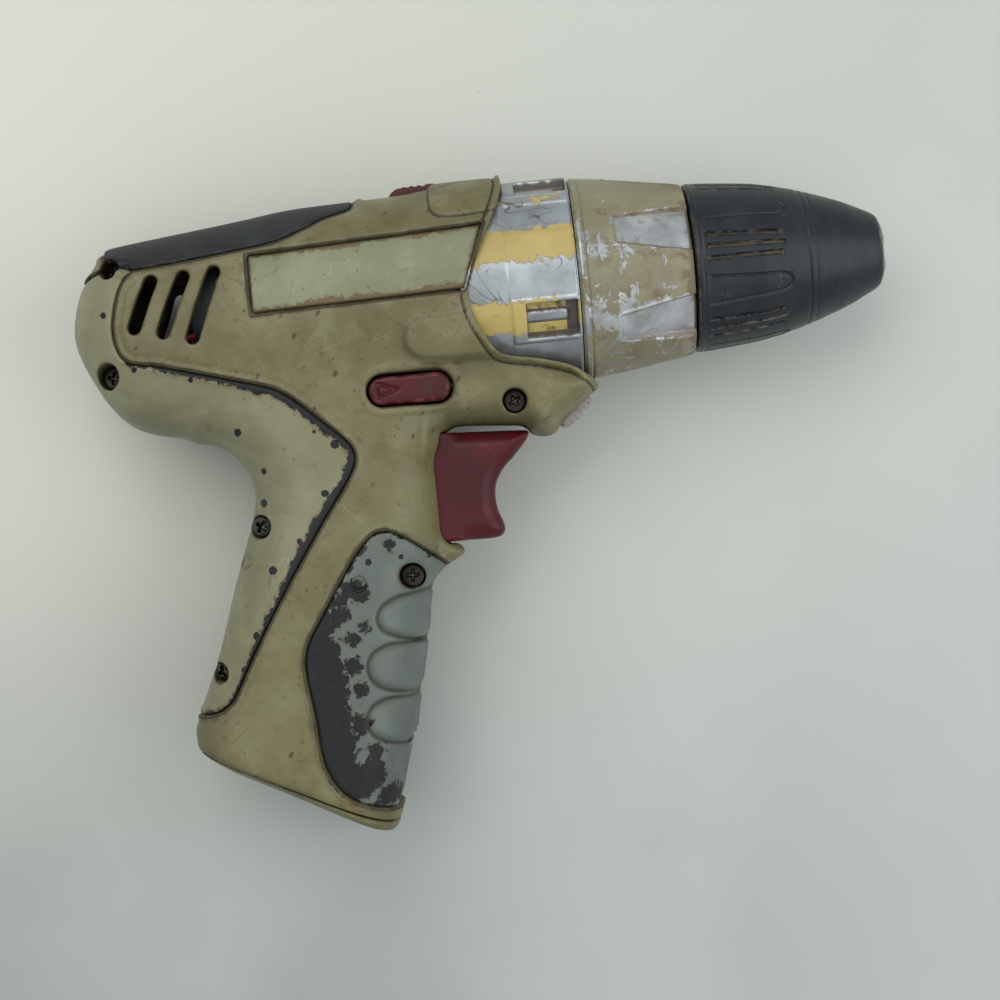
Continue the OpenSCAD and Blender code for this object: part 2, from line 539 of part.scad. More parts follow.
right_housing();
left_housing();
rear_grip_right();
rear_grip_left();
front_grip_right();
front_grip_left();
top_pad_right();
top_pad_left();
label_right();
label_left();
housing_screws();
gear_case();
ring_gear();
shift_ring();
shift_fork();
gear_selector();
clutch_pins();
clutch_washer();
clutch_spring();
clutch_nut();
torque_ring();
ring_clip();
spindle_bearing();
spindle();
planet_2a();
planet_2b();
planet_2c();
stage_carrier();
planet_1a();
planet_1b();
planet_1c();
motor_pinion();
motor_plate();
motor_can();
motor_magnets();
motor_end_cap();
motor_bearings();
motor_brushes();
armature();
cooling_fan();
direction_button();
trigger();
trigger_spring();
switch_body();
work_light();
light_lens();
wires();
battery_contacts();
battery_case();
battery_cells();
battery_straps();
release_button();
chuck_body();
chuck_screw();
chuck_nut();
chuck_sleeve();
jaw_1();
jaw_2();
jaw_3();
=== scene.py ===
import math
import bpy
import numpy as np
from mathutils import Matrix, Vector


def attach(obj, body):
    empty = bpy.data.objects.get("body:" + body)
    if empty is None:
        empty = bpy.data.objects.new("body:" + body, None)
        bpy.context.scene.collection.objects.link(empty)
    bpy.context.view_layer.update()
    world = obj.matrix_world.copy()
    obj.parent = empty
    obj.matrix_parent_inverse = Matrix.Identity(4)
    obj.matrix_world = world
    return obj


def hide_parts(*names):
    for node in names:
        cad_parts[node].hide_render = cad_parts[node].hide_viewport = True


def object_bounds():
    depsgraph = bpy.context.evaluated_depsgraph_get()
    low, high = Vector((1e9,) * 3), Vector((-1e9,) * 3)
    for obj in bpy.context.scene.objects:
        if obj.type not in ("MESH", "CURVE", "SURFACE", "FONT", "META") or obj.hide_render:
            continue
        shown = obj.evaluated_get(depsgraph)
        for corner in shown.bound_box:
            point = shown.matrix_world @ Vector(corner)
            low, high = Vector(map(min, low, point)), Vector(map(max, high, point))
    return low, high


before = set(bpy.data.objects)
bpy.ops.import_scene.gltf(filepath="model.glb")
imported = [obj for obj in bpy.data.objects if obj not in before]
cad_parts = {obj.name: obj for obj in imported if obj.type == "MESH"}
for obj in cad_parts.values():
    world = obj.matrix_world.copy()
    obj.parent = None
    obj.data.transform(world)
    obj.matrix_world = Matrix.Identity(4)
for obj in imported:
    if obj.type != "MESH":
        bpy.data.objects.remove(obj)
cad_box = [list(v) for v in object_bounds()]
scene = bpy.context.scene
scene.view_settings.view_transform = "Standard"
scene.view_settings.look = "None"

# ---------------------------------------------------------------- camera
cam_data = bpy.data.cameras.new("camera")
cam_data.sensor_width = 36.0
cam_data.lens = 18.0 / (119.0 / 476.0)
cam_data.clip_start, cam_data.clip_end = 0.01, 20
cam = bpy.data.objects.new("camera", cam_data)
scene.collection.objects.link(cam)
cam.location = (-0.09584, -0.05035, 0.476)
cam.rotation_euler = (0, 0, math.radians(-5.6))
scene.camera = cam


# ---------------------------------------------------------------- 2-D shapes
def spline(pts, n=4):
    """Closed curve through the points. A point with a third value is kept as a corner."""
    P = [np.array(p[:2], float) for p in pts]
    C = [len(p) > 2 for p in pts]
    m, out = len(P), []
    for i in range(m):
        a, b, c, d = P[i - 1], P[i], P[(i + 1) % m], P[(i + 2) % m]
        t1 = (c - b) * 0.5 if C[i] else (c - a) * 0.5
        t2 = (c - b) * 0.5 if C[(i + 1) % m] else (d - b) * 0.5
        # keep tangents short next to a short neighbour
        L = np.linalg.norm(c - b)
        for t in (t1, t2):
            q = np.linalg.norm(t)
            if q > L:
                t *= L / q
        for k in range(n):
            s = k / n
            h00, h10 = 2 * s**3 - 3 * s**2 + 1, s**3 - 2 * s**2 + s
            h01, h11 = -2 * s**3 + 3 * s**2, s**3 - s**2
            out.append(h00 * b + h10 * t1 + h01 * c + h11 * t2)
    return np.array(out)


def psdf(poly, x, y):
    """Signed distance to a closed polygon, negative inside."""
    P = np.asarray(poly, float)
    x, y = np.broadcast_arrays(np.asarray(x, np.float32), np.asarray(y, np.float32))
    d2 = np.full(x.shape, 1e9, np.float32)
    inside = np.zeros(x.shape, bool)
    for i in range(len(P)):
        ax, ay = P[i - 1]
        bx, by = P[i]
        ex, ey = bx - ax, by - ay
        L = ex * ex + ey * ey
        if L < 1e-12:
            continue
        wx, wy = x - ax, y - ay
        t = np.clip((wx * ex + wy * ey) / L, 0, 1)
        np.minimum(d2, (wx - t * ex) ** 2 + (wy - t * ey) ** 2, out=d2)
        if ay != by:
            c = ((ay <= y) != (by <= y)) & (x < (bx - ax) * (y - ay) / (by - ay) + ax)
            inside ^= c
    d = np.sqrt(d2)
    return np.where(inside, -d, d)


def line_d(pts, x, y):
    """Distance to an open line of points."""
    P = np.asarray(pts, float)
    x, y = np.broadcast_arrays(np.asarray(x, np.float32), np.asarray(y, np.float32))
    d2 = np.full(x.shape, 1e9, np.float32)
    for i in range(1, len(P)):
        ax, ay = P[i - 1]
        ex, ey = P[i][0] - ax, P[i][1] - ay
        L = ex * ex + ey * ey + 1e-12
        t = np.clip(((x - ax) * ex + (y - ay) * ey) / L, 0, 1)
        np.minimum(d2, (x - ax - t * ex) ** 2 + (y - ay - t * ey) ** 2, out=d2)
    return np.sqrt(d2)


def sm(a, b, x):
    t = np.clip((x - a) / (b - a), 0, 1)
    return t * t * (3 - 2 * t)


def smin(a, b, k):
    h = np.clip(0.5 + 0.5 * (b - a) / k, 0, 1)
    return b + (a - b) * h - k * h * (1 - h)


def smax(a, b, k):
    return -smin(-a, -b, k)


# outlines in millimetres, seen from the drill's right side
TOP = [(-60, 24.4, 1), (-88, 24.7), (-103.2, 24.6), (-112, 23.7), (-124, 23.3), (-138.6, 22.8), (-150, 21.4), (-170, 19.1), (-180, 17.9),
       (-182.6, 17.2), (-184.2, 15.2), (-186.9, 12), (-190, 6.3), (-191.8, -0.8), (-191.5, -6), (-189.2, -12.3), (-185.4, -19.4), (-181, -24.5),
       (-175.8, -27), (-169.4, -28.3), (-162, -28.6), (-150, -27.5), (-135, -26), (-112, -25), (-60, -25, 1)]
GRIP = [(-150, 6), (-163, 0), (-167, -12), (-167.5, -22), (-166, -28.6), (-163.2, -29.8), (-159.7, -31.9), (-156.5, -34.7), (-154.2, -38.6), (-153.2, -43),
        (-153.7, -47), (-155.3, -52), (-157.8, -58.5), (-161, -67.4), (-164.9, -79), (-168.7, -88), (-171.5, -94.4), (-173, -99), (-174.2, -106),
        (-176, -118), (-176, -140, 1), (-129.5, -140, 1), (-126.6, -124), (-125.6, -120.3), (-123.8, -113.6), (-121.7, -105.9), (-119.4, -95),
        (-117.2, -85.4), (-115.8, -79), (-114.8, -72.6), (-113.2, -67.6), (-110.8, -63.5), (-109.6, -58), (-109.4, -48), (-109.3, -38), (-107, -31),
        (-102, -24), (-98, -14), (-104, 0), (-120, 6)]
BEAK = [(-116, -55), (-111, -55), (-108.6, -57.6), (-105.6, -60.6), (-105.3, -61.8), (-106.6, -62.8), (-110, -64.6), (-113, -66.5), (-117, -66)]
CHIN = [(-113, -12), (-96, -15), (-84, -18), (-74.5, -21.4), (-70.9, -22.6), (-70.2, -23.6), (-70.9, -26.4), (-74, -29.3), (-78.6, -33.1), (-81.2, -35.7),
        (-83.5, -36.3), (-86.9, -35.4), (-88.6, -33.5), (-92, -32.9), (-104, -32), (-107.5, -33.2), (-109.3, -37.5), (-114, -40)]
FOOT_LINE = [(-172.9, -98.2), (-172, -101.4), (-169.4, -104.2), (-164.2, -107.8), (-160.4, -109.9), (-150, -115.3), (-140, -120.6), (-133.5, -123.6),
             (-129, -124.9), (-127, -124.7), (-125.7, -123.2)]
FOOT_CUT = [(-260, 60, 1), (-260, -80, 1), (-190, -86, 1)] + FOOT_LINE + [(-100, -112, 1), (-40, -90, 1), (-40, 60, 1)]
FRONT = [(-50, 40, 1), (-88.4, 40, 1), (-88.6, 22.5), (-88.9, 20.5), (-90.5, 16), (-93.5, 9.8), (-96.4, 3.2), (-98, -2), (-98.3, -5), (-97.2, -9.2), (-95, -13.8),
         (-93, -16.6), (-90.4, -17.6), (-85, -18.5), (-80, -19.7), (-76, -21), (-73, -22.9), (-71, -24.6), (-66, -30, 1), (-50, -30, 1)]
REAR = [(-174.2, 9.7), (-176, 7.6), (-177.6, 4.5), (-179.2, -1.5), (-179.4, -5.5), (-178.6, -8.8), (-177, -10.9), (-174, -11.9), (-170, -12.6), (-160, -15.4),
        (-150, -18.3), (-144.8, -20), (-141, -22.3), (-135, -27.7), (-130, -32.4), (-128.2, -34.8), (-127.5, -37.5), (-128.6, -40.8), (-132, -45.8), (-136, -51.2),
        (-140, -57), (-145, -64.3), (-150, -72.2), (-155, -80.4), (-159, -87.6), (-161, -90.5), (-164, -92.5), (-168, -93.3), (-174, -93.4, 1), (-184, -93, 1), (-165, -55, 1),
        (-164, -42, 1), (-172, -34, 1), (-200, -24, 1), (-200, 4, 1), (-190, 9, 1), (-183, 10.5), (-178, 11)]
FRONTG = [(-100, -66.2, 1), (-108, -65.2), (-111.4, -62.2), (-115, -59.2), (-119, -56.2), (-122, -54.8), (-125, -55), (-128, -57.4), (-131, -61), (-135, -67), (-139, -73),
          (-142.5, -78.5), (-143.7, -83), (-143.5, -88), (-142.5, -96), (-142, -103), (-141, -108), (-139, -112), (-136, -115), (-131, -117.6), (-126, -119.2), (-120, -120.5, 1), (-100, -121, 1)]
PAD = [(-123.4, 40, 1), (-123.6, 20.4), (-125.2, 19.3), (-130, 17.9), (-135, 15.6), (-140, 13.6), (-145, 12.6), (-150, 12.1), (-160, 11), (-170, 10), (-174.4, 9.8),
       (-177, 10.9), (-180.5, 13), (-183, 16.2), (-184, 22, 1), (-184, 40, 1)]
LABEL = [(-147.9, 10.6, 1), (-140, 10.9), (-120, 11.7), (-100, 12.4), (-93.6, 12.7, 1), (-96.4, 5.4), (-99.1, -2.2, 1), (-120, -2.7), (-140, -3.1), (-147.6, -3.3, 1)]
UPF = [(-105.2, 40, 1), (-105.2, 18.4), (-104.3, 16.3), (-102.2, 15.4), (-96, 15.4), (-90, 16), (-80, 16, 1), (-80, 40, 1)]
LOF = [(-80, -7.2, 1), (-96, -7.4), (-109.6, -7.9), (-112.6, -9.3), (-113.9, -12), (-113.3, -15), (-110.8, -17.2), (-104, -17.8), (-95, -17.7), (-80, -18, 1)]
TOP_S, GRIP_S, BEAK_S, CHIN_S = spline(TOP), spline(GRIP), spline(BEAK), spline(CHIN)
FOOT_S, FRONT_S, REAR_S, FRONTG_S = spline(FOOT_CUT), spline(FRONT), spline(REAR), spline(FRONTG)
PAD_S, LABEL_S, UPF_S, LOF_S = spline(PAD), spline(LABEL), spline(UPF), spline(LOF)
VENTS = [(-174.4, -3.6, -170.0, 6.6), (-167.9, -5.2, -162.6, 7.0), (-161.4, -7.0, -155.6, 7.4)]
SCREWS = [(-90.2, -27.8, 2.7, 12.2), (-117.7, -65.7, 2.8, 13.6), (-151.3, -51.2, 2.5, 13.0), (-164.0, -84, 2.1, 8.0), (-182.5, -13.4, 2.8, 10.0), (-180, 10.9, 2.2, 9.0)]
PADS = [((-125.9, -74.2), [(-108, -68.9), (-116, -69.9), (-121.2, -70.7), (-124.4, -72.3), (-125.8, -74.7), (-124.9, -77.0), (-121.8, -78.7), (-115.8, -80.9), (-108, -83)]),
        ((-129, -85), [(-108, -79.5), (-117, -81.2), (-124.2, -81.3), (-127.6, -82.8), (-129, -85.4), (-128.2, -88.4), (-125, -90.6), (-117.6, -92.4), (-108, -94)]),
        ((-130.3, -97), [(-108, -92), (-119, -94), (-125.2, -93.5), (-128.8, -94.8), (-130.3, -97.5), (-129.6, -100.3), (-126.8, -102.3), (-120.6, -104.2), (-108, -106)])]
CHIPS = [(-154, -29.2, 1.1), (-149, -38.5, 0.9), (-150, -45.8, 1.2), (-135.2, -45, 1.1), (-142, -55.3, 0.9), (-148.8, -61.3, 1.3), (-154, -75.8, 1.1), (-157.5, -83.3, 0.8),
         (-132, -34, 1.3), (-127, -61.5, 0.9), (-181.5, 0, 0.9), (-175.5, -13, 0.9), (-163, -16.5, 0.7), (-121.2, -58, 1.0), (-141, -24.6, 0.7), (-136.4, -30.8, 0.6)]


def super_form(P, W, e, p, x, y, az):
    """Crowned solid: half width W, edge rounding e. Arrays x, y are 2-D, az is |z|."""
    depth = -psdf(P, x, y)
    U = np.maximum(0, (e - depth) / e)[:, :, None] ** p
    V = (az / W[:, :, None] if np.ndim(W) else az / W) ** p
    n = (U + V) ** (1.0 / p)
    Wm = W[:, :, None] if np.ndim(W) else W
    em = e[:, :, None] if np.ndim(e) else e
    return (n - 1) * (em * U + Wm * V) / (U + V + 1e-6)


def relief(x, y):
    """Raised and sunk detail on the outer faces, in millimetres."""
    r = 1.0 * (1 - sm(-0.7, 0.9, psdf(UPF_S, x, y)))
    r = np.maximum(r, 2.3 * (1 - sm(-1.5, 0.6, psdf(LOF_S, x, y))))
    fr = psdf(FRONT_S, x, y)
    r += 0.55 * (1 - sm(1.0, 1.5, fr)) - 0.45 * np.exp(-(((fr - 1.75) / 0.32) ** 2))
    rg = psdf(REAR_S, x, y)
    r += np.where(rg > 0, 0.35 * (1 - sm(0.9, 1.35, rg)) - 0.35 * np.exp(-(((rg - 1.65) / 0.28) ** 2)), 0)
    r += np.where(rg <= 0, 0.30 * sm(-2.6, -1.2, rg) * (x > -176), 0)
    pd = psdf(PAD_S, x, y)
    r += 0.55 * np.exp(-(((pd - 1.5) / 0.75) ** 4))
    lb = psdf(LABEL_S, x, y)
    r += 0.25 * np.exp(-(((lb - 0.9) / 0.7) ** 4))
    dn = line_d([(-119.6, -23.1), (-107.9, -22.9)], x, y)
    r += 0.45 * np.exp(-(((dn - 5.0) / 0.8) ** 4)) - 0.25 * (1 - sm(3.6, 4.4, dn))
    fg = psdf(FRONTG_S, x, y)
    r += np.where(fg > 0, 0.30 * (1 - sm(0.8, 1.3, fg)) - 0.25 * np.exp(-(((fg - 1.6) / 0.3) ** 2)), 0)
    return r.astype(np.float32)


def relief_front(x, y):
    r = np.zeros_like(x, dtype=np.float32)
    for _, pts in PADS:
        P = spline([(p[0], p[1], 1) if i in (0, len(pts) - 1) else p for i, p in enumerate(pts)])
        d = psdf(P, x, y)
        r += 0.55 * (1 - sm(-1.1, 0.1, d)) - 0.6 * np.exp(-(((d - 0.55) / 0.5) ** 2))
    return r


class Grid:
    """A box of samples, x0..x1 by y0..y1 by z0..z1 in millimetres."""

    def __init__(self, x0, x1, y0, y1, z0, z1, h):
        self.h, self.o = h, np.array([x0, y0, z0], float)
        self.x = np.arange(x0, x1 + h, h, dtype=np.float32)
        self.y = np.arange(y0, y1 + h, h, dtype=np.float32)
        self.z = np.arange(z0, z1 + h, h, dtype=np.float32)
        self.X, self.Y = np.meshgrid(self.x, self.y, indexing="ij")
        self.Z = self.z[None, None, :]
        self.AZ = np.abs(self.Z)

    def xyz(self):
        return self.X[:, :, None], self.Y[:, :, None], self.Z


def body_field(g):
    x, y = g.X, g.Y
    # barrel and hump
    back = sm(-150, -180, x)
    Wb = 25.0 - 0.6 * back
    eb = 24.6 - 6.0 * back
    F = super_form(TOP_S, Wb, eb, 2.15, x, y, g.AZ)
    G = super_form(GRIP_S, 21.5 + 0.2 * sm(-85, -110, y), 13.5 + 0 * x, 2.3, x, y, g.AZ)
    F = smin(F, G, 5.0)
    C = super_form(CHIN_S, 16.4 + 0 * x, 6.2 + 0 * x, 2.2, x, y, g.AZ)
    F = smin(F, C, 3.0)
    B = super_form(BEAK_S, 10.5 + 0 * x, 2.6 + 0 * x, 2.2, x, y, g.AZ)
    F = smin(F, B, 1.6)
    return F


def base_cuts(g, F):
    """The front edge and the bottom of the foot, rounded over."""
    F = smax(F, -psdf(FRONT_S, g.X, g.Y)[:, :, None], 0.8)
    ft = psdf(FOOT_S, g.X, g.Y)[:, :, None]
    return smax(F, ft + 2.7 * (g.AZ / 19.0) ** 2.2 * (1 - 0.35 * sm(-150, -126, g.X))[:, :, None], 1.6)


def nets(F, g):
    """Surface nets: quads over the zero level of F."""
    S = F < 0
    n = np.zeros(tuple(d - 1 for d in F.shape), np.uint8)
    C = [(a, b, c) for a in (0, 1) for b in (0, 1) for c in (0, 1)]
    for a, b, c in C:
        n += S[a:F.shape[0] - 1 + a, b:F.shape[1] - 1 + b, c:F.shape[2] - 1 + c]
    I, J, K = np.nonzero((n > 0) & (n < 8))
    idx = np.full(n.shape, -1, np.int32)
    idx[I, J, K] = np.arange(len(I))
    tot = np.zeros((len(I), 3), np.float32)
    cnt = np.zeros(len(I), np.float32)
    val = {c: F[I + c[0], J + c[1], K + c[2]] for c in C}
    for a in C:
        for ax in range(3):
            if a[ax]:
                continue
            b = tuple(1 if i == ax else a[i] for i in range(3))
            fa, fb = val[a], val[b]
            m = (fa < 0) != (fb < 0)
            t = fa[m] / (fa[m] - fb[m])
            for i in range(3):
                tot[m, i] += a[i] + (t if i == ax else 0)
            cnt[m] += 1
    v = (np.stack([I, J, K], 1) + tot / cnt[:, None]) * g.h + g.o
    quads = []
    for ax in range(3):
        sl0 = [slice(None)] * 3
        sl1 = [slice(None)] * 3
        sl0[ax], sl1[ax] = slice(0, -1), slice(1, None)
        A, B = S[tuple(sl0)], S[tuple(sl1)]
        e = np.stack(np.nonzero(A != B), 1)
        u, w = (ax + 1) % 3, (ax + 2) % 3
        ok = (e[:, u] > 0) & (e[:, w] > 0) & (e[:, u] < F.shape[u] - 1) & (e[:, w] < F.shape[w] - 1)
        e = e[ok]
        out = A[e[:, 0], e[:, 1], e[:, 2]]
        du, dw = np.zeros(3, int), np.zeros(3, int)
        du[u], dw[w] = 1, 1
        q = np.stack([idx[tuple((e - du - dw).T)], idx[tuple((e - dw).T)], idx[tuple(e.T)], idx[tuple((e - du).T)]], 1)
        q[~out] = q[~out][:, ::-1]
        quads.append(q)
    return v, np.concatenate(quads)


def relax(v, q, n=1, f=0.5):
    """Light smoothing that takes the voxel steps out of a surface."""
    for _ in range(n):
        s = np.zeros_like(v)
        c = np.zeros(len(v))
        for a, b in ((0, 1), (1, 2), (2, 3), (3, 0)):
            np.add.at(s, q[:, a], v[q[:, b]])
            np.add.at(c, q[:, a], 1)
            np.add.at(s, q[:, b], v[q[:, a]])
            np.add.at(c, q[:, b], 1)
        v = v + f * (s / np.maximum(c, 1)[:, None] - v)
    return v


def build(name, v, faces, mat, body, replaced=(), attrs=None, mirror=False, smooth=True):
    v = np.array(v, np.float32)
    faces = np.asarray(faces)
    if mirror:
        v = v * np.array([1, 1, -1], np.float32)
        faces = faces[:, ::-1]
    me = bpy.data.meshes.new(name)
    k = faces.shape[1]
    me.vertices.add(len(v))
    me.vertices.foreach_set("co", (v * 0.001).ravel())
    me.loops.add(faces.size)
    me.loops.foreach_set("vertex_index", faces.astype(np.int32).ravel())
    me.polygons.add(len(faces))
    me.polygons.foreach_set("loop_start", np.arange(0, faces.size, k, dtype=np.int32))
    me.polygons.foreach_set("loop_total", np.full(len(faces), k, np.int32))
    me.polygons.foreach_set("use_smooth", np.full(len(faces), smooth))
    me.update(calc_edges=True)
    me.validate()
    for key, val in (attrs or {}).items():
        a = me.attributes.new(key, "FLOAT", "POINT")
        a.data.foreach_set("value", np.asarray(val, np.float32))
    me.materials.append(mat)
    ob = bpy.data.objects.new(name, me)
    scene.collection.objects.link(ob)
    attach(ob, body)
    if replaced:
        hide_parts(*replaced)
    return ob


# ---------------------------------------------------------------- materials
def lin(r, g, b):
    return tuple(((c / 255 + 0.055) / 1.055) ** 2.4 if c > 10 else c / 255 / 12.92 for c in (r, g, b)) + (1.0,)


class M:
    """A short way to write a node material. Lengths in its noise scales are per metre."""

    def __init__(self, name, **fixed):
        self.mat = bpy.data.materials.new(name)
        self.mat.use_nodes = True
        self.t = self.mat.node_tree
        self.b = next(n for n in self.t.nodes if n.type == "BSDF_PRINCIPLED")
        for k, v in fixed.items():
            self.b.inputs[k.replace("_", " ")].default_value = v
        self.co = self.n("ShaderNodeTexCoord").outputs["Object"]

    def n(self, kind, **props):
        node = self.t.nodes.new(kind)
        for k, v in props.items():
            setattr(node, k, v)
        return node

    def put(self, socket, v):
        if isinstance(v, bpy.types.NodeSocket):
            self.t.links.new(v, socket)
        else:
            socket.default_value = v

    def attr(self, name):
        return self.n("ShaderNodeAttribute", attribute_name=name).outputs["Fac"]

    def scaled(self, x=1.0, y=1.0, z=1.0, rot=(0, 0, 0)):
        """Object coordinates turned by rot, then stretched."""
        mp = self.n("ShaderNodeMapping")
        mp.vector_type = "TEXTURE"
        self.put(mp.inputs["Vector"], self.co)
        mp.inputs["Rotation"].default_value = rot
        mp.inputs["Scale"].default_value = (1 / x, 1 / y, 1 / z)
        return mp.outputs[0]

    def noise(self, scale, detail=4.0, rough=0.55, co=None, distort=0.0):
        m = self.n("ShaderNodeTexNoise")
        self.put(m.inputs["Vector"], co or self.co)
        m.inputs["Scale"].default_value = scale
        m.inputs["Detail"].default_value = detail
        m.inputs["Roughness"].default_value = rough
        m.inputs["Distortion"].default_value = distort
        return m.outputs["Fac"]

    def cells(self, scale, co=None, rand=1.0):
        m = self.n("ShaderNodeTexVoronoi")
        self.put(m.inputs["Vector"], co or self.co)
        m.inputs["Scale"].default_value = scale
        m.inputs["Randomness"].default_value = rand
        return m.outputs["Distance"]

    def op(self, kind, a, b=0.0, c=0.0, clamp=False):
        m = self.n("ShaderNodeMath", operation=kind, use_clamp=clamp)
        for s, v in zip(m.inputs, (a, b, c)):
            self.put(s, v)
        return m.outputs[0]

    def rng(self, v, a, b, lo=0.0, hi=1.0, soft=True):
        m = self.n("ShaderNodeMapRange", interpolation_type="SMOOTHSTEP" if soft else "LINEAR", clamp=True)
        for key, val in (("Value", v), ("From Min", a), ("From Max", b), ("To Min", lo), ("To Max", hi)):
            self.put(m.inputs[key], val)
        return m.outputs["Result"]

    def mix(self, f, a, b, blend="MIX"):
        m = self.n("ShaderNodeMix", data_type="RGBA", blend_type=blend)
        self.put(m.inputs[0], f)
        self.put(m.inputs[6], a)
        self.put(m.inputs[7], b)
        return m.outputs[2]

    def fmix(self, f, a, b):
        m = self.n("ShaderNodeMix", data_type="FLOAT")
        self.put(m.inputs[0], f)
        self.put(m.inputs[2], a)
        self.put(m.inputs[3], b)
        return m.outputs[0]

    def bump(self, h, dist, strength=1.0, normal=None):
        m = self.n("ShaderNodeBump")
        self.put(m.inputs["Height"], h)
        m.inputs["Distance"].default_value = dist
        m.inputs["Strength"].default_value = strength
        if normal is not None:
            self.put(m.inputs["Normal"], normal)
        return m.outputs["Normal"]

    def out(self, color=None, rough=None, metal=None, normal=None):
        for key, v in (("Base Color", color), ("Roughness", rough), ("Metallic", metal), ("Normal", normal)):
            if v is not None:
                self.put(self.b.inputs[key], v)
        return self.mat

    def scratches(self, scale, stretch, rot, width):
        """Thin light lines that run one way, broken up along their length."""
        co = self.scaled(1, stretch, 1, rot=rot)
        a = self.noise(scale, 0.0, 0.5, co)
        line = self.op("ABSOLUTE", self.op("SUBTRACT", a, 0.5))
        gate = self.rng(self.noise(scale * 0.13, 3.0, 0.6), 0.54, 0.62)
        return self.op("MULTIPLY", self.rng(line, 0.0, width, 1.0, 0.0), gate)


def olive_plastic(name, c1, c2, dirt=1.0, chips=True):
    """Painted plastic, rubbed and grimy: colour drifts, dirt and painted shade lie in the grooves, chips show black.
    """
    m = M(name, Specular_IOR_Level=0.36)
    big, mid, fine = m.noise(22, 3, 0.5), m.noise(110, 6, 0.62), m.noise(900, 4, 0.6)
    col = m.mix(m.rng(big, 0.35, 0.65), c1, c2)
    col = m.mix(m.rng(mid, 0.44, 0.70, 0, 0.45), col, lin(132, 129, 100))
    col = m.mix(m.rng(mid, 0.47, 0.30, 0, 0.5), col, lin(84, 79, 50))
    grime = m.rng(m.noise(17, 5, 0.62, None, 0.4), 0.50, 0.68, 0, 0.34 * dirt)
    col = m.mix(grime, col, lin(84, 74, 44))
    # darker, blotchy olive towards the bottom: the neck and the handle
    pos = m.n("ShaderNodeSeparateXYZ")
    m.put(pos.inputs[0], m.co)
    lower_dark = m.op("MULTIPLY", m.rng(pos.outputs[1], -0.015, -0.075, 0, 0.5), m.rng(m.noise(33, 6, 0.64, None, 0.4), 0.36, 0.60, 0.35, 1.0))
    col = m.mix(lower_dark, col, lin(82, 76, 44))
    # rubbed stains
    st = m.noise(60, 8, 0.7, m.scaled(1.0, 1.6, 1.0), 0.6)
    stain = m.op("MULTIPLY", m.rng(st, 0.57, 0.68), 0.5 * dirt)
    col = m.mix(stain, col, lin(98, 76, 44))
    # grime along the seams, and painted shade in the narrow groove lines
    g = m.attr("groove")
    reach = m.op("MULTIPLY_ADD", m.noise(260, 6, 0.7), 3.4, -1.35)
    seam = m.rng(m.op("SUBTRACT", g, reach), -0.35, 0.2, 1.0, 0.0)
    col = m.mix(m.op("MULTIPLY", seam, 0.55 * dirt), col, lin(78, 62, 38))
    # painted shade: the narrow groove lines are darkened almost to black
    groove_shade = m.rng(g, 0.10, 0.42, 1.0, 0.0)
    col = m.mix(m.op("MULTIPLY", groove_shade, 0.85), col, lin(40, 34, 26))
    # light scratches, dark nicks
    s1 = m.scratches(260, 0.05, (0, 0, 0.5), 0.010)
    s2 = m.scratches(330, 0.06, (0, 0, -1.1), 0.009)
    s = m.op("MAXIMUM", s1, s2)
    col = m.mix(m.op("MULTIPLY", s, 0.22), col, lin(156, 150, 122))
    d1 = m.scratches(420, 0.10, (0, 0, -0.75), 0.016)
    d2 = m.scratches(380, 0.12, (0, 0, 0.9), 0.014)
    dk = m.op("MAXIMUM", d1, d2)
    col = m.mix(m.op("MULTIPLY", dk, 0.5), col, lin(70, 52, 32))
    nick = m.rng(m.cells(230, m.scaled(1.0, 0.6, 1.0, rot=(0, 0, -0.6))), 0.15, 0.08)
    nick = m.op("MULTIPLY", nick, m.rng(m.noise(40, 3, 0.6), 0.47, 0.54))
    fleck = m.rng(m.cells(520, m.scaled(1.0, 0.5, 1.0, rot=(0, 0, 0.7))), 0.16, 0.08)
    fleck = m.op("MULTIPLY", fleck, m.rng(m.noise(60, 4, 0.6), 0.42, 0.52))
    nick = m.op("MAXIMUM", nick, m.op("MULTIPLY", fleck, 0.8))
    col = m.mix(m.op("MULTIPLY", nick, 0.8), col, lin(66, 48, 30))
    height = m.op("MULTIPLY_ADD", fine, 0.25, m.op("MULTIPLY", mid, 0.5))
    height = m.op("SUBTRACT", height, m.op("MULTIPLY", s, 0.25))
    if chips:
        ch = m.op("MULTIPLY_ADD", m.noise(700, 3, 0.6), 0.9, m.op("ADD", m.attr("chip"), -0.45))
        chip = m.rng(ch, 0.06, -0.10)
        col = m.mix(chip, col, lin(36, 35, 36))
        height = m.op("SUBTRACT", height, m.op("MULTIPLY", chip, 0.9))
    rough = m.rng(mid, 0.3, 0.7, 0.50, 0.38)
    rough = m.op("ADD", rough, m.op("MULTIPLY", m.op("MAXIMUM", seam, stain), 0.22))
    return m.out(col, rough, None, m.bump(height, 0.00012, 0.55))


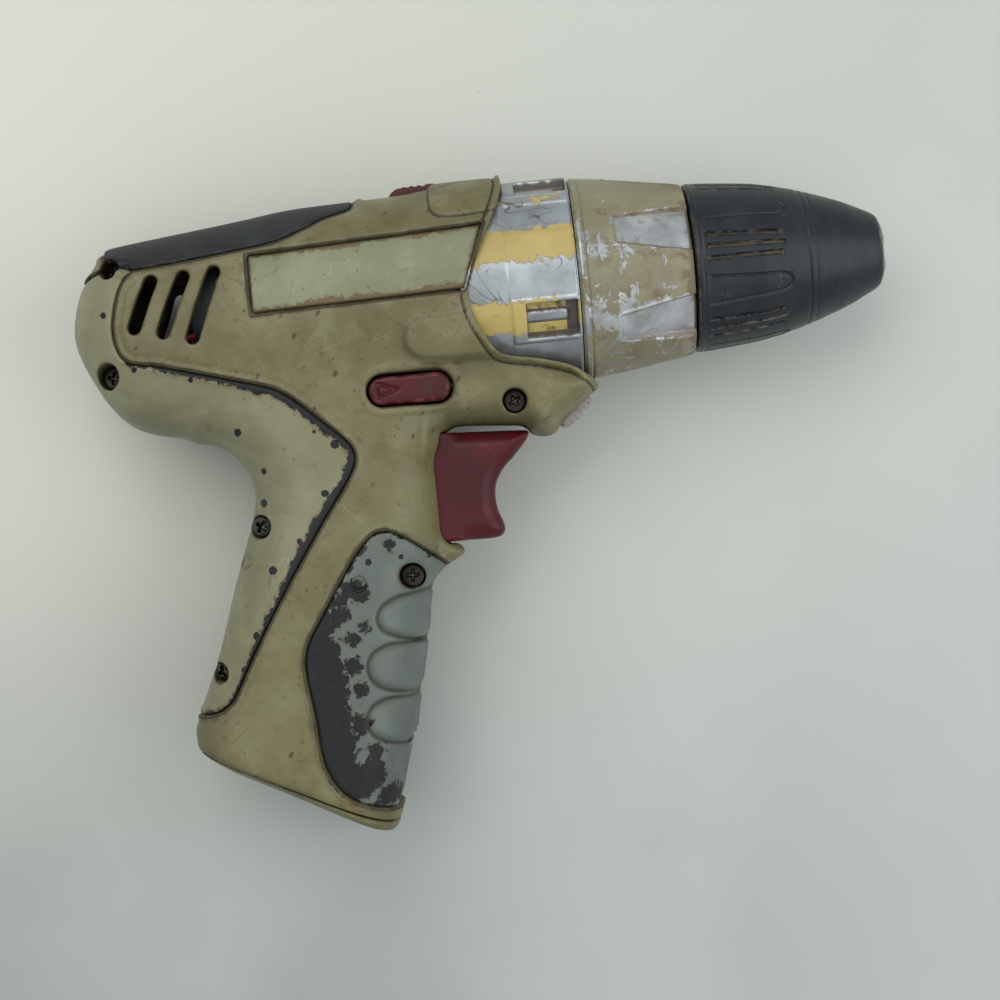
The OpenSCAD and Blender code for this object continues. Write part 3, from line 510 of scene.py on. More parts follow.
def worn_overlay(name, c1, c2, bare, amp=5.0):
    """Soft-touch paint worn through to black along its rim and in patches."""
    m = M(name, Specular_IOR_Level=0.34)
    big, mid, fine = m.noise(24, 3, 0.5), m.noise(130, 6, 0.62), m.noise(1000, 4, 0.6)
    col = m.mix(m.rng(big, 0.35, 0.65), c1, c2)
    col = m.mix(m.rng(mid, 0.45, 0.70, 0, 0.40), col, tuple(min(1, v * 1.28) for v in c1[:3]) + (1,))
    st = m.noise(70, 8, 0.7, m.scaled(1.0, 1.5, 1.0), 0.6)
    col = m.mix(m.op("MULTIPLY", m.rng(st, 0.62, 0.70), 0.35), col, lin(112, 88, 58))
    s1 = m.scratches(240, 0.05, (0, 0, 1.0), 0.010)
    s2 = m.scratches(300, 0.06, (0, 0, 0.2), 0.008)
    s = m.op("MAXIMUM", s1, s2)
    col = m.mix(m.op("MULTIPLY", s, 0.20), col, lin(170, 168, 144))
    dk = m.op("MAXIMUM", m.scratches(400, 0.10, (0, 0, -0.4), 0.016), m.scratches(360, 0.12, (0, 0, 1.1), 0.014))
    fl_ = m.rng(m.cells(420, m.scaled(1.0, 0.6, 1.0, rot=(0, 0, 0.5))), 0.15, 0.08)
    fl_ = m.op("MULTIPLY", fl_, m.rng(m.noise(60, 4, 0.6), 0.46, 0.56))
    col = m.mix(m.op("MULTIPLY", m.op("MAXIMUM", m.op("MULTIPLY", dk, 0.7), fl_), 0.55), col, lin(74, 56, 36))
    # the worn field is a distance in millimetres: below nought is bare
    w = m.attr("bare")
    w = m.op("ADD", w, m.op("MULTIPLY_ADD", m.noise(150, 10, 0.78, None, 0.6), amp * 1.2, -amp * 0.6))
    w = m.op("ADD", w, m.op("MULTIPLY_ADD", m.noise(520, 5, 0.7), amp * 0.5, -amp * 0.25))
    w2 = m.op("ADD", m.attr("chip"), m.op("MULTIPLY_ADD", m.noise(650, 3, 0.6), 1.0, -0.5))
    gone = m.rng(m.op("MINIMUM", w, w2), 0.09, -0.09)
    edge = m.op("MULTIPLY", m.rng(w, 0.8, 0.0), m.op("SUBTRACT", 1.0, gone))
    col = m.mix(m.op("MULTIPLY", edge, 0.5), col, lin(88, 74, 54))
    dust = m.mix(m.rng(m.noise(420, 6, 0.7), 0.50, 0.72, 0, 0.25), bare, lin(66, 61, 54))
    col = m.mix(gone, col, dust)
    # painted shade: the narrow groove lines, pad outlines and the label's rim are darkened almost to black
    g = m.attr("groove")
    groove_shade = m.rng(g, 0.10, 0.45, 1.0, 0.0)
    col = m.mix(m.op("MULTIPLY", groove_shade, 0.8), col, lin(44, 38, 30))
    height = m.op("MULTIPLY_ADD", fine, 0.25, m.op("MULTIPLY", mid, 0.4))
    height = m.op("SUBTRACT", height, m.op("MULTIPLY", gone, 1.3))
    rough = m.fmix(gone, m.rng(mid, 0.3, 0.7, 0.46, 0.36), 0.55)
    return m.out(col, rough, None, m.bump(height, 0.00013, 0.6))


def rubber(name, base=(33, 35, 38)):
    m = M(name, Specular_IOR_Level=0.22)
    mid, fine = m.noise(140, 6, 0.6), m.noise(1400, 4, 0.6)
    col = m.mix(m.rng(mid, 0.4, 0.7), lin(*base), lin(base[0] + 14, base[1] + 14, base[2] + 14))
    g = m.attr("groove")
    reach = m.op("MULTIPLY_ADD", m.noise(260, 5, 0.65), 2.2, -0.7)
    seam = m.rng(m.op("SUBTRACT", g, reach), -0.3, 0.3, 1.0, 0.0)
    col = m.mix(m.op("MULTIPLY", seam, 0.7), col, lin(98, 86, 64))
    sc = m.scratches(420, 0.08, (0, 0, 0.2), 0.012)
    col = m.mix(m.op("MULTIPLY", sc, 0.35), col, lin(100, 100, 98))
    dust = m.rng(m.noise(300, 8, 0.75), 0.60, 0.75)
    col = m.mix(m.op("MULTIPLY", dust, 0.22), col, lin(96, 92, 82))
    rough = m.rng(mid, 0.3, 0.7, 0.48, 0.62)
    return m.out(col, rough, None, m.bump(m.op("MULTIPLY_ADD", fine, 0.5, mid), 0.00012, 0.5))


def wine(name):
    m = M(name, Specular_IOR_Level=0.24)
    big, mid, fine = m.noise(60, 4, 0.55), m.noise(240, 6, 0.62), m.noise(1500, 3, 0.6)
    col = m.mix(m.rng(big, 0.35, 0.65), lin(80, 19, 26), lin(62, 16, 21))
    col = m.mix(m.rng(mid, 0.50, 0.70, 0, 0.6), col, lin(56, 28, 31))
    dirt = m.rng(m.noise(120, 8, 0.72), 0.58, 0.70)
    col = m.mix(m.op("MULTIPLY", dirt, 0.4), col, lin(66, 44, 40))
    s = m.op("MAXIMUM", m.scratches(300, 0.06, (0, 0, 0.7), 0.012), m.scratches(260, 0.05, (0, 0, -0.5), 0.010))
    col = m.mix(m.op("MULTIPLY", s, 0.22), col, lin(140, 88, 88))
    e = m.rng(m.attr("edge"), 0.0, 0.9, 1.0, 0.0)
    e = m.op("MULTIPLY", e, m.rng(m.noise(300, 5, 0.65), 0.45, 0.62))
    col = m.mix(m.op("MULTIPLY", e, 0.4), col, lin(138, 78, 78))
    return m.out(col, m.rng(mid, 0.3, 0.7, 0.30, 0.46), None, m.bump(m.op("MULTIPLY_ADD", fine, 0.4, mid), 0.00008, 0.5))


def metal(name, c, rough=0.32, spin=False, grime=0.35):
    m = M(name, Metallic=1.0)
    co = m.scaled(9, 0.6, 0.6) if spin else m.co
    grain = m.noise(900, 4, 0.6, co)
    mid = m.noise(160, 6, 0.62)
    col = m.mix(m.rng(mid, 0.35, 0.7), c, tuple(v * 0.72 for v in c[:3]) + (1,))
    col = m.mix(m.rng(m.noise(210, 8, 0.7), 0.56, 0.7, 0, grime), col, lin(84, 66, 46))
    return m.out(col, m.rng(grain, 0.3, 0.7, rough - 0.08, rough + 0.12), None, m.bump(grain, 0.00004, 0.5))


def plain(name, c, rough=0.5, c2=None, scale=180):
    m = M(name)
    mid, fine = m.noise(scale, 5, 0.6), m.noise(scale * 7, 3, 0.6)
    col = m.mix(m.rng(mid, 0.35, 0.7), c, c2 or tuple(v * 0.8 for v in c[:3]) + (1,))
    return m.out(col, m.rng(mid, 0.3, 0.7, rough - 0.06, rough + 0.08), None, m.bump(m.op("MULTIPLY_ADD", fine, 0.5, mid), 0.00006, 0.4))


def foil(name):
    """Yellow plastic under silver foil that has mostly rubbed away, with brown dirt in the low places."""
    m = M(name)
    mid, fine = m.noise(160, 7, 0.68), m.noise(900, 4, 0.6)
    yel = m.mix(m.rng(m.noise(40, 3, 0.5), 0.35, 0.65), lin(180, 160, 94), lin(166, 146, 84))
    yel = m.mix(m.rng(mid, 0.54, 0.74, 0, 0.5), yel, lin(150, 130, 78))
    sil = m.mix(m.rng(m.noise(90, 5, 0.6), 0.3, 0.7), lin(170, 176, 178), lin(136, 141, 144))
    s = m.op("ADD", m.attr("foil"), m.op("MULTIPLY_ADD", m.noise(210, 12, 0.82, None, 0.7), 13.0, -6.5))
    mask = m.rng(s, -0.05, 0.05)
    rim = m.op("MULTIPLY", m.rng(m.op("ABSOLUTE", s), 0.28, 0.02), m.rng(m.noise(500, 4, 0.6), 0.45, 0.6))
    col = m.mix(mask, yel, sil)
    col = m.mix(m.op("MULTIPLY", rim, 0.6), col, lin(110, 94, 62))
    crack = m.op("MAXIMUM", m.scratches(420, 0.35, (0, 0, 0.8), 0.03), m.scratches(360, 0.3, (0.4, 0, -0.9), 0.03))
    col = m.mix(m.op("MULTIPLY", m.op("MULTIPLY", crack, mask), 0.75), col, lin(58, 50, 38))
    d = m.op("ADD", m.attr("low"), m.op("MULTIPLY_ADD", m.noise(300, 8, 0.74, None, 0.4), 1.9, -0.85))
    dirt = m.rng(d, 0.35, 0.65)
    col = m.mix(m.op("MULTIPLY", dirt, 0.88), col, lin(62, 46, 32))
    metalness = m.op("MULTIPLY", mask, m.op("SUBTRACT", 0.72, m.op("MULTIPLY", dirt, 0.7)), clamp=True)
    rough = m.fmix(mask, 0.46, m.rng(mid, 0.3, 0.7, 0.26, 0.42))
    h = m.op("ADD", m.op("MULTIPLY", mask, 0.8), m.op("MULTIPLY_ADD", fine, 0.3, m.op("MULTIPLY", mid, 0.5)))
    return m.out(col, rough, metalness, m.bump(h, 0.00007, 0.6))


def ring_paint(name):
    """Dull silver-beige paint over bright foil, rubbed away at the edges."""
    m = M(name)
    mid, fine = m.noise(150, 7, 0.66), m.noise(1000, 4, 0.6)
    base = m.mix(m.rng(m.noise(34, 4, 0.55), 0.35, 0.65), lin(137, 132, 107), lin(117, 112, 88))
    base = m.mix(m.rng(mid, 0.48, 0.70, 0, 0.75), base, lin(104, 90, 62))
    sil = m.mix(m.rng(m.noise(100, 5, 0.6), 0.3, 0.7), lin(196, 200, 200), lin(150, 154, 156))
    s = m.op("ADD", m.attr("foil"), m.op("MULTIPLY_ADD", m.noise(230, 10, 0.8, None, 0.7), 12.0, -6.0))
    mask = m.rng(s, -0.05, 0.05)
    col = m.mix(mask, base, sil)
    rim = m.op("MULTIPLY", m.rng(m.op("ABSOLUTE", s), 0.25, 0.02), m.rng(m.noise(500, 4, 0.6), 0.45, 0.6))
    col = m.mix(m.op("MULTIPLY", rim, 0.55), col, lin(104, 88, 60))
    d = m.op("ADD", m.attr("low"), m.op("MULTIPLY_ADD", m.noise(260, 8, 0.74, None, 0.4), 2.2, -1.05))
    dirt = m.rng(d, 0.35, 0.70)
    col = m.mix(m.op("MULTIPLY", dirt, 0.7), col, lin(92, 70, 42))
    metalness = m.op("MULTIPLY", mask, m.op("SUBTRACT", 0.75, m.op("MULTIPLY", dirt, 0.7)), clamp=True)
    rough = m.fmix(mask, 0.42, m.rng(mid, 0.3, 0.7, 0.24, 0.40))
    h = m.op("ADD", m.op("MULTIPLY", mask, -0.5), m.op("MULTIPLY_ADD", fine, 0.3, m.op("MULTIPLY", mid, 0.5)))
    return m.out(col, rough, metalness, m.bump(h, 0.00007, 0.6))


def sleeve_black(name):
    m = M(name, Specular_IOR_Level=0.30)
    lathe = m.noise(1600, 3, 0.6, m.scaled(1.0, 0.02, 0.02))
    mid = m.noise(170, 6, 0.62)
    col = m.mix(m.rng(mid, 0.35, 0.7), lin(27, 31, 36), lin(35, 39, 44))
    d = m.op("ADD", m.attr("low"), m.op("MULTIPLY_ADD", m.noise(230, 6, 0.7), 1.6, -0.8))
    sc = m.op("MAXIMUM", m.scratches(300, 0.06, (0, 0, 1.35), 0.014), m.scratches(420, 0.07, (0, 0, 0.9), 0.012))
    col = m.mix(m.op("MULTIPLY", sc, 0.30), col, lin(108, 108, 104))
    col = m.mix(m.op("MULTIPLY", m.rng(d, 0.62, 0.95), 0.7), col, lin(84, 68, 48))
    wear = m.op("MULTIPLY", m.rng(m.attr("edge"), 0.35, 0.8), m.rng(m.noise(420, 5, 0.65), 0.42, 0.62))
    col = m.mix(m.op("MULTIPLY", wear, 0.6), col, lin(128, 118, 100))
    dust = m.rng(m.noise(520, 8, 0.75), 0.60, 0.74)
    col = m.mix(m.op("MULTIPLY", dust, 0.16), col, lin(104, 106, 104))
    rough = m.rng(m.op("MULTIPLY_ADD", lathe, 0.6, m.op("MULTIPLY", mid, 0.4)), 0.3, 0.7, 0.30, 0.46)
    return m.out(col, rough, None, m.bump(m.op("MULTIPLY_ADD", mid, 0.3, lathe), 0.00009, 0.6))


OLIVE = olive_plastic("olive", lin(115, 111, 77), lin(101, 96, 65))
OVER = worn_overlay("hump_paint", lin(126, 125, 97), lin(113, 111, 84), lin(18, 19, 22), 4.6)
GRIPM = worn_overlay("grip_paint", lin(92, 99, 93), lin(77, 84, 81), lin(13, 15, 18), 8.5)
LABELM = worn_overlay("label_panel", lin(126, 129, 102), lin(118, 120, 93), lin(104, 88, 56), 5.0)
RUB = rubber("pad_rubber")
WINE = wine("wine_plastic")
FOIL = foil("nose_foil")
RING = ring_paint("ring_paint")
SLEEVE = sleeve_black("sleeve_black")
STEEL = metal("steel", lin(178, 180, 182), 0.30, True, 0.25)
ZINC = metal("zinc_screw", lin(96, 92, 86), 0.42, False, 0.7)
SCREWM = metal("screw_dark", lin(58, 56, 54), 0.40, False, 0.5)
BRONZE = metal("bronze", lin(186, 146, 92), 0.35, True, 0.2)
LATCH = plain("latch_grey", lin(104, 104, 94), 0.45, lin(72, 66, 54), 120)
INNER = plain("inner_black", lin(36, 37, 38), 0.55)
COPPER = metal("copper", lin(176, 110, 74), 0.4, False, 0.3)
CELL = plain("cell_wrap", lin(62, 84, 110), 0.35)
WIREM = plain("wire_skin", lin(140, 28, 28), 0.4)
CAN = metal("motor_can", lin(150, 152, 154), 0.36, False, 0.3)
MAGNET = plain("magnet", lin(52, 52, 54), 0.7)
LEDM = plain("led_epoxy", lin(228, 228, 214), 0.25)
BLUEGREY = plain("shell_inside", lin(70, 68, 54), 0.6)


# ---------------------------------------------------------------- shared fields


def cyl(g, cx, cy, r):
    return np.hypot(g.X - cx, g.Y - cy)[:, :, None] - r


def capsule(g, v, r):
    return (line_d([(v[0], v[1]), (v[2], v[3])], g.X, g.Y) - r)[:, :, None]


def mx(*fields):
    out = fields[0]
    for f in fields[1:]:
        out = np.maximum(out, f)
    return out


def cut(F, *others):
    for o in others:
        F = np.maximum(F, -o)
    return F


def groove_of(x, y):
    """Distance in millimetres to the nearest seam or moulded line, for the grime and the painted shade in the grooves.
    """
    d = np.abs(psdf(REAR_S, x, y) - 0.4)
    for P in (FRONTG_S, PAD_S, LABEL_S, UPF_S):
        d = np.minimum(d, np.abs(psdf(P, x, y) - 0.4))
    d = np.minimum(d, np.abs(psdf(FRONT_S, x, y) - 1.75))
    d = np.minimum(d, np.abs(psdf(LOF_S, x, y) - 0.4) + 0.3)
    for sx, sy, r, _ in SCREWS:
        d = np.minimum(d, np.abs(np.hypot(x - sx, y - sy) - r) + 0.15)
    for v in VENTS:
        d = np.minimum(d, np.abs(line_d([(v[0], v[1]), (v[2], v[3])], x, y) - 1.6) + 0.2)
    d = np.minimum(d, np.abs(line_d([(-119.6, -23.1), (-107.9, -22.9)], x, y) - 3.9) + 0.1)
    return d


def chip_of(x, y, extra=()):
    d = np.full(np.shape(x), 9.0)
    for cx, cy, r in list(CHIPS) + list(extra):
        d = np.minimum(d, np.hypot(x - cx, y - cy) - r * 0.8)
    return d


def wear_rear(x, y):
    """Below nought where the overlay's paint has gone: its upper and front rim."""
    e = -psdf(REAR_S, x, y)
    top = sm(-150, -146, x) * 0.9 + sm(-166, -150, x) * 0.5
    low = 1 - sm(-52, -80, y) * 0.55
    w = e - (0.5 + 1.4 * np.clip(top + 0.35, 0, 1) * low)
    return np.where((x < -170) & (y > -11), e + 1.2, w)


def wear_label(x, y):
    top = (10.7 + (x + 147) * 0.036) - y
    low = y - (-3.2 + (x + 147) * 0.02)
    w = np.minimum(top - 0.7, low - 1.25)
    w = np.minimum(w, (x + 147.8) * 0.9 - 0.4)
    return np.minimum(w, -psdf(LABEL_S, x, y) - 0.2)


def wear_front(x, y):
    e = -psdf(FRONTG_S, x, y)
    band = np.maximum(np.abs(x + 139.8 + 0.06 * (y + 95)) - 5.6, np.abs(y + 95) - 23)
    w = np.minimum(e - 0.4, band * 0.7)
    for cx, cy, r in ((-130.5, -67.5, 2.6), (-134.5, -111.5, 4.2), (-129.5, -104.5, 1.7), (-132.5, -79, 1.6), (-121.7, -57.6, 1.2), (-134, -73, 1.8), (-131.5, -90, 1.6), (-130.8, -110, 3.6), (-127.5, -115.0, 2.4), (-132.6, -98, 2.4), (-129.6, -75.5, 1.2), (-132.8, -84.8, 1.9), (-134.0, -69.5, 2.2)):
        w = np.minimum(w, np.hypot(x - cx, y - cy) - r)
    return w


# ---------------------------------------------------------------- housing
HS = 0.5


def housing(side):
    """One clamshell half. The seam is at z = 0; side is +1 for the drill's right."""
    g = Grid(-194.5, -66.5, -127, 27.5, -2 * HS, 26.0, HS)
    x, y = g.X, g.Y
    F0 = body_field(g)
    rel = relief(x, y)[:, :, None]
    # relief fades out towards the seam so that the halves meet flush
    fade = sm(1.5, 6.0, g.AZ)
    F = base_cuts(g, F0 - rel * fade)
    F = np.maximum(F, g.Z - 24.9)
    plates_in = F0 + 1.5
    R = np.minimum.reduce([psdf(P, x, y) for P in (REAR_S, FRONTG_S, PAD_S, LABEL_S)])[:, :, None]
    seat = np.maximum(R, -plates_in)
    seat = np.maximum(seat, 2.0 - g.AZ)
    F = smax(F, -seat, 0.25)
    inner = F0 + 2.9
    F = smax(F, -inner, 0.3)
    # screw pillars inside
    for sx, sy, r, top in SCREWS:
        post = np.maximum(cyl(g, sx, sy, 3.7), F0 + 1.3)
        F = np.minimum(F, post)
    if side > 0:
        for sx, sy, r, top in SCREWS:
            F = smax(F, -np.maximum(cyl(g, sx, sy, r + 0.15), top - 1.6 - g.Z), 0.35)
    for v in VENTS:
        F = smax(F, -capsule(g, v, 1.55), 0.5)
    # openings
    F = smax(F, -mx(np.abs(x + 111.9)[:, :, None] - 9.3, (15 - y)[:, :, None] + 0 * g.Z, g.AZ - 4.6 + 0 * x[:, :, None]), 0.5)
    mouth = psdf([(-121, -33.2), (-107, -33.2), (-87.4, -34.2), (-87.4, -38), (-104, -42), (-104, -59.5), (-121, -59.5)], x, y)[:, :, None]
    F = smax(F, -np.maximum(mouth, g.AZ - 8.9), 0.5)
    F = smax(F, -(line_d([(-120.1, -23), (-107.9, -23)], x, y)[:, :, None] - 3.75 + 0 * g.Z), 0.5)
    lens = psdf([(-80.6, -34), (-80.1, -33.1), (-73.3, -27.1), (-68, -29), (-77, -40)], x, y)[:, :, None]
    F = smax(F, -np.maximum(lens, g.AZ - 4.4), 0.3)
    rel_w = psdf([(-115, -103.7), (-125.4, -103.3), (-129.3, -118), (-118, -121)], x, y)[:, :, None]
    F = smax(F, -np.maximum(rel_w, g.AZ - 8.3), 0.3)
    # battery well and the gear case's seat
    rr = np.sqrt(y[:, :, None] ** 2 + g.Z ** 2)
    F = cut(F, np.maximum(rr - 24.1, np.abs(x + 94.5)[:, :, None] - 6.6), np.maximum(rr - 24.55, (-88.3 - x)[:, :, None]))
    well = np.maximum(batt_oct(g, 0.4), batt_len(g, -0.5, 80))
    F = cut(F, well, below_line(g, 0.0))
    F = smax(F, -g.Z, 0.22)
    v, q = nets(F, g)
    v = relax(v, q, 1, 0.5)
    X, Y = v[:, 0], v[:, 1]
    A = {"groove": groove_of(X, Y), "chip": chip_of(X, Y)}
    A["groove"] = np.minimum(A["groove"], np.where(np.abs(v[:, 2]) < 1.2, np.abs(v[:, 2]) + 0.12, 9))
    return v, q, A


def batt_frame(g):
    a = math.radians(-16.26)
    dx, dy = g.X + 136.5, g.Y + 66
    return dx * math.cos(a) + dy * math.sin(a), -(-dx * math.sin(a) + dy * math.cos(a))


def batt_oct(g, e):
    u, t = batt_frame(g)
    u = np.abs(u)[:, :, None]
    a, b, c = 17.4 + e, 18.6 + e, 5.8
    d = np.maximum(u - a, g.AZ - b)
    return np.maximum(d, (u + g.AZ - (a + b - c)) * 0.7071)


def batt_len(g, a, b):
    u, t = batt_frame(g)
    return np.maximum(a - t, t - b)[:, :, None]


def below_line(g, e):
    """Negative below the foot's parting line."""
    dx, dy = 47.0, -22.8
    L = math.hypot(dx, dy)
    return ((-(g.X + 172) * dy + (g.Y + 100.5) * dx) / L)[:, :, None] + e + 0 * g.Z


for side, nm in ((1, "right"), (-1, "left")):
    v, q, A = housing(side)
    build("shell_" + nm, v, q, OLIVE, "body", (nm + "_housing",), A, mirror=side < 0)

OS = 0.38


def overlay(P, box, front=False, extra=0.0, side=1):
    g = Grid(box[0], box[1], box[2], box[3], 0.5, 25.8, OS)
    x, y = g.X, g.Y
    F0 = body_field(g)
    fade = sm(1.5, 6.0, g.AZ)
    rel = relief(x, y)
    if front:
        rel = rel * 0 + relief_front(x, y)
    F = base_cuts(g, F0 - (rel[:, :, None] * fade + extra))
    F = np.maximum(F, g.Z - 24.9)
    reg = psdf(P, x, y)[:, :, None] + 0.22
    F = smax(F, reg + 0 * g.Z, 0.9)
    F = smax(F, -(F0 + 1.45), 0.1)
    F = np.maximum(F, 2.1 - g.AZ)
    if side > 0:
        for sx, sy, r, top in SCREWS:
            F = smax(F, -np.maximum(cyl(g, sx, sy, r + 0.25), 1 - g.Z), 0.5)
    for sx, sy, r in ((-155.5, -59, 1.5), (-129.7, -66.3, 1.5), (-175.5, 10.3, 0.7)):
        F = smax(F, -np.maximum(np.abs(cyl(g, sx, sy, r)) - 0.35, -(F0 + 0.5)), 0.25)
    for v in VENTS:
        F = smax(F, -capsule(g, v, 1.8), 0.3)
    F = smax(F, -(line_d([(-120.1, -23), (-107.9, -23)], x, y)[:, :, None] - 4.0 + 0 * g.Z), 0.3)
    rel_w = psdf([(-113, -102), (-125.6, -102.8), (-129.7, -118), (-118, -123)], x, y)[:, :, None]
    F = np.maximum(F, -np.maximum(rel_w, g.AZ - 9.1))
    F = np.maximum(F, -below_line(g, -0.25))
    v, q = nets(F, g)
    v = relax(v, q, 1, 0.4)
    return v, q


for nm, P, box, mat, slot_, front, bare in (
        ("rear_grip", REAR_S, (-192.5, -126, -95, 12.5), OVER, "hump_shell", False, wear_rear),
        ("front_grip", FRONTG_S, (-145, -104, -123, -53), GRIPM, "grey_grip", True, wear_front),
        ("top_pad", PAD_S, (-186, -122.5, 8.5, 26), RUB, "rubber_black", False, None),
        ("label", LABEL_S, (-149, -92, -4.5, 14), LABELM, "label_plate", False, wear_label)):
    for side, sd in ((1, "right"), (-1, "left")):
        v, q = overlay(P, box, front, 0.0, side)
        X, Y = v[:, 0], v[:, 1]
        A = {"groove": np.abs(psdf(P, X, Y)) + 0.15, "chip": chip_of(X, Y, ((-165.5, -72, 0.9), (-172, -84, 0.8), (-170, -87.5, 0.9)))}
        if nm == "front_grip":
            A["chip"] = chip_of(X, Y, ((-119.5, -61, 0.7),))
            for _, pts in PADS:
                S = spline([(p[0], p[1], 1) if i in (0, len(pts) - 1) else p for i, p in enumerate(pts)])
                A["groove"] = np.minimum(A["groove"], np.maximum(np.abs(psdf(S, X, Y) - 0.55) - 0.12, 0))
        if nm == "label":
            e = -psdf(P, X, Y)
            A["groove"] = np.minimum(e * 0.42, 9)
        if bare:
            A["bare"] = bare(X, Y)
        build(nm + "_skin_" + sd, v, q, mat, "body", (nm + "_" + sd,), A, mirror=side < 0)


# ---------------------------------------------------------------- battery
def battery_case():
    g = Grid(-178, -115, -127, -60, -25, 25, 0.5)
    F0 = body_field(g)
    cap = smax(base_cuts(g, F0), below_line(g, 0.3), 0.6)
    prism = smax(batt_oct(g, 0.0), batt_len(g, 0, 62), 0.8)
    prism = np.maximum(prism, below_line(g, -0.2) * 0 + prism)
    up = np.maximum(prism, -below_line(g, 0.8))
    F = np.minimum(cap, up)
    F = np.maximum(F, -np.maximum(batt_oct(g, -1.1), batt_len(g, 1.1, 44.6)))
    rel_w = psdf([(-115, -103.7), (-125.4, -103.3), (-129.3, -118), (-118, -121)], g.X, g.Y)[:, :, None]
    v, q = nets(F, g)
    v = relax(v, q, 1, 0.5)
    X, Y = v[:, 0], v[:, 1]
    A = {"groove": np.full(len(v), 9.0), "chip": chip_of(X, Y)}
    dx, dy = 47.0, -22.8
    L = math.hypot(dx, dy)
    s = np.abs((-(X + 172) * dy + (Y + 100.5) * dx) / L)
    A["groove"] = np.minimum(A["groove"], s)
    return v, q, A


v, q, A = battery_case()
v = np.array(v)
v[:, 1] = np.maximum(v[:, 1], -124.86)
build("battery_shell", v, q, OLIVE, "battery", ("battery_case",), A)


# ---------------------------------------------------------------- controls
def trigger():
    g = Grid(-127, -86, -61, -31.5, -9.6, 9.6, 0.32)
    x, y = g.X, g.Y
    P = spline([(-112.3, -33.6, 1), (-107, -33.45), (-97, -33.95), (-88.3, -34.55), (-87.5, -35.1), (-88.5, -37.0), (-91.5, -40.2), (-94.4, -43.0), (-96.2, -46.0), (-96.8, -49.2), (-96.5, -52.6),
                (-95.5, -55.4), (-95.2, -57.2), (-96.1, -58.6), (-98.2, -59.1), (-104, -59.0), (-112.3, -58.9, 1)])
    dep = -psdf(P, x, y)
    front = np.clip((x + 108) / 4.0, 0, 1)
    e = 4.2
    U = (np.maximum(0, (e - dep) / e) * front)[:, :, None]
    W = 8.4
    F = smax(-dep[:, :, None] + 0 * g.Z, g.AZ - (W - 2.6 * U ** 2.2), 1.0)
    stem = np.maximum(np.sqrt((y + 46)[:, :, None] ** 2 + g.Z ** 2) - 2.0, np.abs(x + 117.5)[:, :, None] - 6.9)
    F = np.minimum(F, stem)
    v, q = nets(F, g)
    v = relax(v, q, 1, 0.5)
    d = -psdf(P, v[:, 0], v[:, 1])
    A = {"edge": np.maximum(np.abs(d), np.abs(8.4 - np.abs(v[:, 2]))) * 0.6}
    return v, q, A


v, q, A = trigger()
build("trigger_lever", v, q, WINE, "trigger", ("trigger",), A)


def pill():
    g = Grid(-125, -103, -28, -18, -21, 21, 0.3)
    x, y = g.X, g.Y
    d = line_d([(-120.1, -23), (-107.9, -23)], x, y) - 3.35
    F = smax(d[:, :, None] + 0 * g.Z, g.AZ - 20.35, 1.3)
    for s in (1, -1):
        tri = psdf([(-121.4, -24.9), (-121.4, -20.9), (-116.2, -22.9)], x, y)[:, :, None]
        F = smax(F, -np.maximum(np.abs(tri + 0.25) - 0.28, 19.8 - s * g.Z), 0.15)
    v, q = nets(F, g)
    v = relax(v, q, 1, 0.4)
    A = {"edge": np.abs(line_d([(-120.1, -23), (-107.9, -23)], v[:, 0], v[:, 1]) - 2.9)}
    return v, q, A


v, q, A = pill()
build("direction_pill", v, q, WINE, "direction_button", ("direction_button",), A)


def selector():
    g = Grid(-118.5, -101.5, 18.4, 27, -6.4, 6.4, 0.25)
    x, y = g.X, g.Y
    base = mx(np.abs(x + 111.5)[:, :, None] - 5.5, np.abs(y - 19.75)[:, :, None] - 0.42, g.AZ - 5.05 + 0 * x[:, :, None])
    P = spline([(-115.4, 19.7, 1), (-115.3, 23.0), (-113.8, 24.8), (-111.5, 25.5), (-107, 25.7), (-104.2, 25.6), (-103.4, 24.6), (-103.2, 22), (-103.2, 19.7, 1)])
    knob = smax(psdf(P, x, y)[:, :, None] + 0 * g.Z, g.AZ - 4.2, 1.0)
    for xx in (-112.2, -110.4, -108.6, -106.8):
        knob = smax(knob, -(np.hypot(x - xx, y - 26.0)[:, :, None] - 0.75 + 0 * g.Z), 0.3)
    F = np.minimum(base, knob)
    F = cut(F, mx(np.abs(x + 102.1)[:, :, None] - 2, np.abs(y - 21.2)[:, :, None] - 0.8, g.AZ - 0.8 + 0 * x[:, :, None]))
    v, q = nets(F, g)
    v = relax(v, q, 1, 0.4)
    return v, q, {"edge": np.abs(v[:, 1] - 25.6) * 0.6 + np.maximum(0, 3.4 - np.abs(v[:, 2])) * 0.4}


v, q, A = selector()
build("selector_knob", v, q, WINE, "speed_selector", ("gear_selector",), A)


def release():
    g = Grid(-131, -119, -119.5, -102.5, -9, 9, 0.25)
    x, y = g.X, g.Y
    P = spline([(-121.9, -104.6, 1), (-125.1, -104.1, 1), (-129.0, -116.7, 1), (-125.6, -117.3, 1)], 2)
    F = smax(psdf(P, x, y)[:, :, None] + 0 * g.Z, g.AZ - 8.0, 0.8)
    a = math.radians(-14)
    t = (x + 123.7) * math.sin(a) - (y + 111) * math.cos(a)
    for k in range(-3, 4):
        edge = line_d([(-121.9, -104.6), (-125.6, -117.3)], x, y)
        F = smax(F, -(np.hypot(edge, t - k * 1.5)[:, :, None] - 0.45 + 0 * g.Z), 0.2)
    v, q = nets(F, g)
    v = relax(v, q, 1, 0.4)
    return v, q, {"groove": np.full(len(v), 3.0)}


v, q, A = release()
build("release_latch", v, q, LATCH, "release_button", ("release_button",), A)


